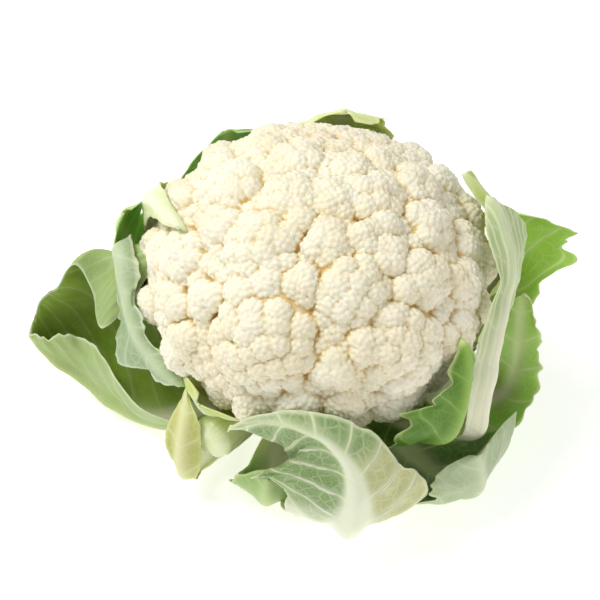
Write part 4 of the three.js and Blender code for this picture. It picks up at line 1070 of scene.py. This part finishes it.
def buildLeaf(name, leaf, index, tree):
    draw = np.random.default_rng(100 + index)
    finish = leafMaterial(name, leaf)
    widest = [max(leaf[key]["width"]) for key in ("left", "right")]
    rib = np.array(leaf["rib"], dtype=float)
    reach = np.linalg.norm(np.diff(rib, axis=0), axis=1).sum()
    rows = round(reach / leafForm["cell"])
    counts = [max(5, round(w / leafForm["cell"] * 0.9)) for w in widest]
    share = np.linspace(0, 1, rows + 1)
    even = lambda count: (np.arange(1, count + 1) / count) ** 1.05
    across = np.concatenate([-even(counts[0])[::-1], [0], even(counts[1])])
    sheet, length, distance, margin = leafSheet(leaf, share, across, draw)
    s, d = length[:, None] + 0 * distance, distance
    away = np.abs(d)
    past = lambda start, over: smooth((share[:, None] - start) / over)
    rippled = lambda key, count: ripple(draw, np.stack([s, d]), leafForm[key], count)
    wobble = rippled("wanderLength", 3) * leafForm["veinWander"]
    leaning = leafForm["veinLean"] * away + leafForm["veinCurve"] * away ** 2
    phase = (s + wobble - leaning) / leafForm["veinPitch"]
    lengthways = np.gradient(sheet, axis=0)
    sideways = np.gradient(sheet, axis=1)
    normal = unit(np.cross(sideways, lengthways))
    # the quilting fades towards the rib, the margin and the stalk
    blade = smooth((away - leafForm["quiltFrom"]) / leafForm["quiltGrowth"])
    blade = blade * smooth(margin / leafForm["quiltMargin"]) * past(0.12, 0.2)
    quilt = leafForm["quilting"] * (0.5 - 0.5 * np.cos(2 * math.pi * phase)) * blade
    quilt = quilt + leafForm["crinkle"] * rippled("crinkleLength", 3) * blade
    bending = leafForm["undulation"] * rippled("undulationLength", 4) * past(0.1, 0.3)
    groove = -leafForm["ribGroove"] * np.exp(-(away / leafForm["ribGrooveWidth"]) ** 2)
    groove = groove * past(0.1, 0.2)
    upper = sheet + normal * (quilt + bending + groove)[..., None]
    thinning = smooth(margin / leafForm["marginWidth"])
    thick = leafForm["marginBlade"] + (leafForm["blade"] - leafForm["marginBlade"]) * thinning
    depth = thick + ribDepth(share[:, None], d)
    lower = sheet + normal * (quilt + bending - depth)[..., None]
    fields = {
        "flat": np.stack([s * millimetre, d * millimetre, 0 * s], axis=-1),
        "share": share[:, None] + 0 * s,
        "side": 0 * s,
        "ribNear": np.exp(-(away / (2.4 + 3.2 * (1 - share[:, None]))) ** 2),
        "edgeNear": smooth(1 - margin / leafForm["edgeWidth"]) * past(0.1, 0.1),
        "veinPhase": phase,
    }
    many = len(across)
    outside = lambda column, sign: (
        0.5 * (upper[:, column] + lower[:, column])
        + sign * unit(sideways[:, column]) * leafForm["rimBulge"]
    )
    ring = np.concatenate(
        [upper, outside(-1, 1)[:, None], lower[:, ::-1], outside(0, -1)[:, None]], axis=1
    )
    columns = np.concatenate([np.arange(many), [many - 1], np.arange(many)[::-1], [0]])
    sides = np.concatenate([np.ones(many), [0.5], np.zeros(many), [0.5]])
    around = 2 * many + 2
    points = ring.reshape(-1, 3)
    values = {
        key: values[:, columns].reshape((-1, 3) if values.ndim == 3 else -1) for key, values in fields.items()
    }
    values["side"] = np.tile(sides, rows + 1)
    triangles = ringFaces(rows, around)
    for row, turned in ((0, False), (rows, True)):
        at = lambda k: row * around + k
        j = np.arange(many - 1)
        top, topNext, low, lowNext = at(j), at(j + 1), at(2 * many - j), at(2 * many - j - 1)
        cap = [np.stack([top, low, lowNext], -1), np.stack([top, lowNext, topNext], -1)]
        cap.append(np.array([[at(0), at(2 * many + 1), at(2 * many)]]))
        cap.append(np.array([[at(many - 1), at(many + 1), at(many)]]))
        cap = np.concatenate(cap)
        triangles.append(cap[:, ::-1] if turned else cap)
    triangles = np.concatenate(triangles)
    sunk = lower + leafForm["veinSink"] * normal
    tubes = veinTubes(leaf, share, across, length, sunk, distance, fields, tree, finish)
    if tubes:
        triangles = np.concatenate([triangles, tubes[1] + len(points)])
        points = np.concatenate([points, tubes[0]])
        values = {key: np.concatenate([values[key], tubes[2][key]]) for key in values}
    points[:, 2] = np.maximum(points[:, 2], leafForm["lowest"])
    piece = makePiece(name + "_blade", points, triangles, values)
    piece.data.materials.append(finish)
    keepPiece(piece, name, name)
    return len(triangles)


def buildLeaves():
    tree = veinTree()
    total = 0
    for index, (name, leaf) in enumerate(leaves.items()):
        total += buildLeaf(name, {**plainLeaf, **leaf}, index, tree)
    print("leaves:", len(leaves), "with", total, "faces")


# The stalk under the head, and the leaf stalk that was cut off short

stalk = {
    "foot": 22, "girth": 24.5, "neck": 27, "top": 43.65, "rows": 70, "columns": 144,
    "roughness": 0.55, "roughLength": 9, "dimple": 0.35, "dimpleLength": 14, "seed": 5,
}
cutStalk = {
    "foot": (-13, -17, 24), "end": (-48, -62, 39), "length": 59, "radius": 9, "sag": 1.5,
    "rows": 90, "columns": 64, "ridges": 9, "ridgeHeight": 0.28, "wobble": 0.3, "wobbleLength": 16,
    "flattened": 0.86, "seed": 8,
}


def fleshMaterial(name, colours, roughness, streaks):
    # streaked pale flesh: colours are the flesh, its streaks and its rim
    made, tree, shader = newMaterial(name)
    flat, rim = storedField(tree, "flat", "Vector"), storedField(tree, "rim")
    flesh, streak, skin = (linearColour(c) for c in colours)
    stretched = addNode(tree, "ShaderNodeMapping", {"Vector": flat, "Scale": streaks})
    fibres = cloud(tree, stretched.outputs[0], 1.0, 5.0)
    place = objectPlace(tree)
    cloudy = cloud(tree, place, 60.0, 3.0)
    colour = mixColours(tree, ramp(tree, fibres, 0.4, 0.7), flesh, streak)
    colour = mixColours(tree, ramp(tree, cloudy, 0.45, 0.8, 0, 0.5), colour, skin)
    colour = mixColours(tree, rim, colour, skin)
    bump = addNode(tree, "ShaderNodeBump", {"Height": fibres, "Strength": 0.35, "Distance": 0.0006})
    setInputs(tree, shader, {
        "Base Color": colour, "Normal": bump.outputs[0], "Roughness": roughness, "Subsurface Weight": 0.3,
        "Subsurface Radius": (0.9, 1.0, 0.5), "Subsurface Scale": 0.002,
    })
    return made


def crossed(down, around):
    return np.stack(np.broadcast_arrays(down[:, None], around[None, :]))


def flatPlaces(down, around):
    # the skin laid out flat, for its streaks
    return np.stack(np.broadcast_arrays(down[:, None], around[None, :], 0.0), axis=-1)


def turnedPiece(name, rings, flats, rims, finish):
    # rings of equal counts from one end to the other, closed at both ends
    rows, columns = rings.shape[:2]
    j = np.arange(columns)
    last = (rows - 1) * columns
    points = np.vstack([rings.reshape(-1, 3), rings[0].mean(axis=0), rings[-1].mean(axis=0)])
    faces = ringFaces(rows - 1, columns)
    faces.append(np.stack([j, np.full(columns, rows * columns), (j + 1) % columns], -1))
    faces.append(np.stack([last + j, last + (j + 1) % columns, np.full(columns, rows * columns + 1)], -1))
    flat = np.vstack([flats.reshape(-1, 3), flats[0].mean(axis=0), flats[-1].mean(axis=0)])
    rim = np.concatenate([rims.ravel(), [0, 0]])
    piece = makePiece(name, points, np.concatenate(faces), {"flat": flat * millimetre, "rim": rim})
    piece.data.materials.append(finish)
    return piece


def buildStalk():
    draw = np.random.default_rng(stalk["seed"])
    foot, girth, neck, top = (stalk[key] for key in ("foot", "girth", "neck", "top"))
    heights = [0, 0, 0, 1.5, 12, 26, top - 4, top, top]
    radii = [0.3, foot * 0.5, foot - 2, foot, girth, girth, neck, neck, 0.3]
    walked = np.concatenate([[0], np.cumsum(np.hypot(np.diff(heights), np.diff(radii)))])
    walk = np.linspace(0, walked[-1], stalk["rows"])
    radius, height = np.interp(walk, walked, radii), np.interp(walk, walked, heights)
    azimuth = np.arange(stalk["columns"]) * 2 * math.pi / stalk["columns"]
    wall = smooth((height - 1) / 4) * smooth((top - height) / 4)
    rough = stalk["roughness"] * ripple(draw, crossed(height, 24 * azimuth), stalk["roughLength"], 4)
    rough = rough * np.abs(np.sin(azimuth / 2)) ** 0.2  # none where the turn closes
    grown = radius[:, None] + rough * wall[:, None]
    dimple = stalk["dimple"] * ripple(draw, crossed(radius, 6 * azimuth), stalk["dimpleLength"], 3)
    flatness = ((height < 0.01) & (radius < foot * 0.8))[:, None]
    raised = height[:, None] + np.where(flatness, np.abs(dimple), 0)
    rings = np.stack([grown * np.cos(azimuth), grown * np.sin(azimuth), raised], axis=-1)
    flats = flatPlaces(walk, 20 * azimuth)
    rims = np.broadcast_to(smooth(wall)[:, None] * 0.6, rings.shape[:2])
    finish = fleshMaterial("stalkFlesh", ("#ece9cb", "#dcdcae", "#cfd9a4"), 0.55, (60, 900, 1))
    keepPiece(turnedPiece("stalk_flesh", rings, flats, rims, finish), "stalk", "stalk")
    print("stalk: done")


def buildCutStalk():
    draw = np.random.default_rng(cutStalk["seed"])
    foot, end = np.array(cutStalk["foot"], float), np.array(cutStalk["end"], float)
    growth = unit(end - foot)
    side = unit(np.cross(growth, [0, 0, 1]))
    top = np.cross(side, growth)
    r, length = cutStalk["radius"], cutStalk["length"]
    endRows, endLength = 14, 4
    rounded = np.sin(np.linspace(0.12, 1, endRows) * math.pi / 2)
    walk = np.linspace(0, length - endLength, cutStalk["rows"] - endRows)
    walk = np.concatenate([walk, length - endLength + endLength * rounded])
    radius = np.interp(walk, [0, length * 0.4, length - 5], [r - 1, r, r + 1])
    radius = radius * np.sqrt(np.clip(1 - np.clip((walk - length + 5) / 5.2, 0, 1) ** 2, 0, 1)) + 0.05
    azimuth = np.arange(cutStalk["columns"]) * 2 * math.pi / cutStalk["columns"]
    ridge = cutStalk["ridgeHeight"] * np.cos(cutStalk["ridges"] * azimuth)[None, :]
    ridge = ridge * np.minimum(1, radius / r)[:, None]
    wobble = cutStalk["wobble"] * ripple(draw, crossed(walk, 7 * azimuth), cutStalk["wobbleLength"], 3)
    grown = radius[:, None] + (ridge + wobble) * smooth(radius / r)[:, None]
    flattened = np.where(np.sin(azimuth) > 0, cutStalk["flattened"], 1.0)
    centre = foot + walk[:, None] * growth - top * (cutStalk["sag"] * (walk / length) ** 2)[:, None] * 0.4
    rings = centre[:, None] + (grown * np.cos(azimuth))[..., None] * side
    rings = rings + (grown * np.sin(azimuth) * flattened)[..., None] * top
    flats = flatPlaces(walk, r * azimuth)
    rims = np.broadcast_to(smooth((walk - length + 6) / 6)[:, None] * 0.5, rings.shape[:2])
    finish = fleshMaterial("cutStalkFlesh", ("#e2edb0", "#cfe088", "#f2f5d6"), 0.2, (40, 1300, 1))
    piece = turnedPiece("leaf_stub_flesh", rings[:, ::-1], flats, rims, finish)
    keepPiece(piece, "cut_leaf_stalk", "leaf_stub")
    print("cut leaf stalk: done")


# Floor, light and camera

studio = {
    "aim": (0, 0, 0.078), "away": 0.85, "elevation": 50, "fieldPixels": 1918.7, "imageSize": 600,
    "aimPixel": (317, 275), "floor": "#ffffff", "floorGlow": 0.45, "worldLight": 0.44,
    "keyPower": 5.2, "keySize": 0.4, "keyPlace": (-0.42, 0.08, 0.82),
    "fillPower": 1.2, "fillSize": 0.6, "fillPlace": (0.6, -0.6, 0.5),
}


def areaLight(name, power, size, place):
    data = bpy.data.lights.new(name, "AREA")
    data.energy, data.size = power, size
    lamp = bpy.data.objects.new(name, data)
    lamp.location = place
    lamp.rotation_euler = (Vector(studio["aim"]) - Vector(place)).to_track_quat("-Z", "Y").to_euler()
    scene.collection.objects.link(lamp)


def buildStudio():
    bpy.ops.mesh.primitive_plane_add(size=6)
    floor = bpy.context.object
    floor.name = "floor"
    made, tree, shader = newMaterial("floorPaint")
    place = objectPlace(tree)
    cloudy = cloud(tree, place, 3.0)
    shade = mixColours(tree, cloudy, studio["floor"], "#fbfbfa")
    setInputs(tree, shader, {
        "Base Color": shade, "Roughness": 0.9, "Specular IOR Level": 0.1,
        "Emission Color": (1, 1, 1, 1), "Emission Strength": studio["floorGlow"],
    })
    floor.data.materials.append(made)
    world = bpy.data.worlds.new("studioLight")
    world.use_nodes = True
    sky = world.node_tree.nodes["Background"]
    setInputs(world.node_tree, sky, {"Color": (1, 1, 1, 1), "Strength": studio["worldLight"]})
    scene.world = world
    scene.view_settings.view_transform = "Standard"
    for name in ("key", "fill"):
        areaLight(name + "Light", *(studio[name + part] for part in ("Power", "Size", "Place")))


def buildCamera():
    tilt = math.radians(studio["elevation"])
    forward = Vector((0, math.cos(tilt), -math.sin(tilt)))
    right = Vector((1, 0, 0))
    data = bpy.data.cameras.new("camera")
    data.sensor_width = 36
    data.lens = studio["fieldPixels"] / studio["imageSize"] * data.sensor_width
    data.shift_x = (studio["imageSize"] / 2 - studio["aimPixel"][0]) / studio["imageSize"]
    data.shift_y = (studio["aimPixel"][1] - studio["imageSize"] / 2) / studio["imageSize"]
    data.clip_start, data.clip_end = 0.05, 20
    camera = bpy.data.objects.new("camera", data)
    turn = Matrix((right, right.cross(forward), -forward)).transposed().to_4x4()
    camera.matrix_world = Matrix.Translation(Vector(studio["aim"]) - forward * studio["away"]) @ turn
    scene.collection.objects.link(camera)
    scene.camera = camera


buildCamera()
buildStudio()
print("studio: camera, floor and lights")
buildStalk()
buildCutStalk()
buildLeaves()
buildCurd()
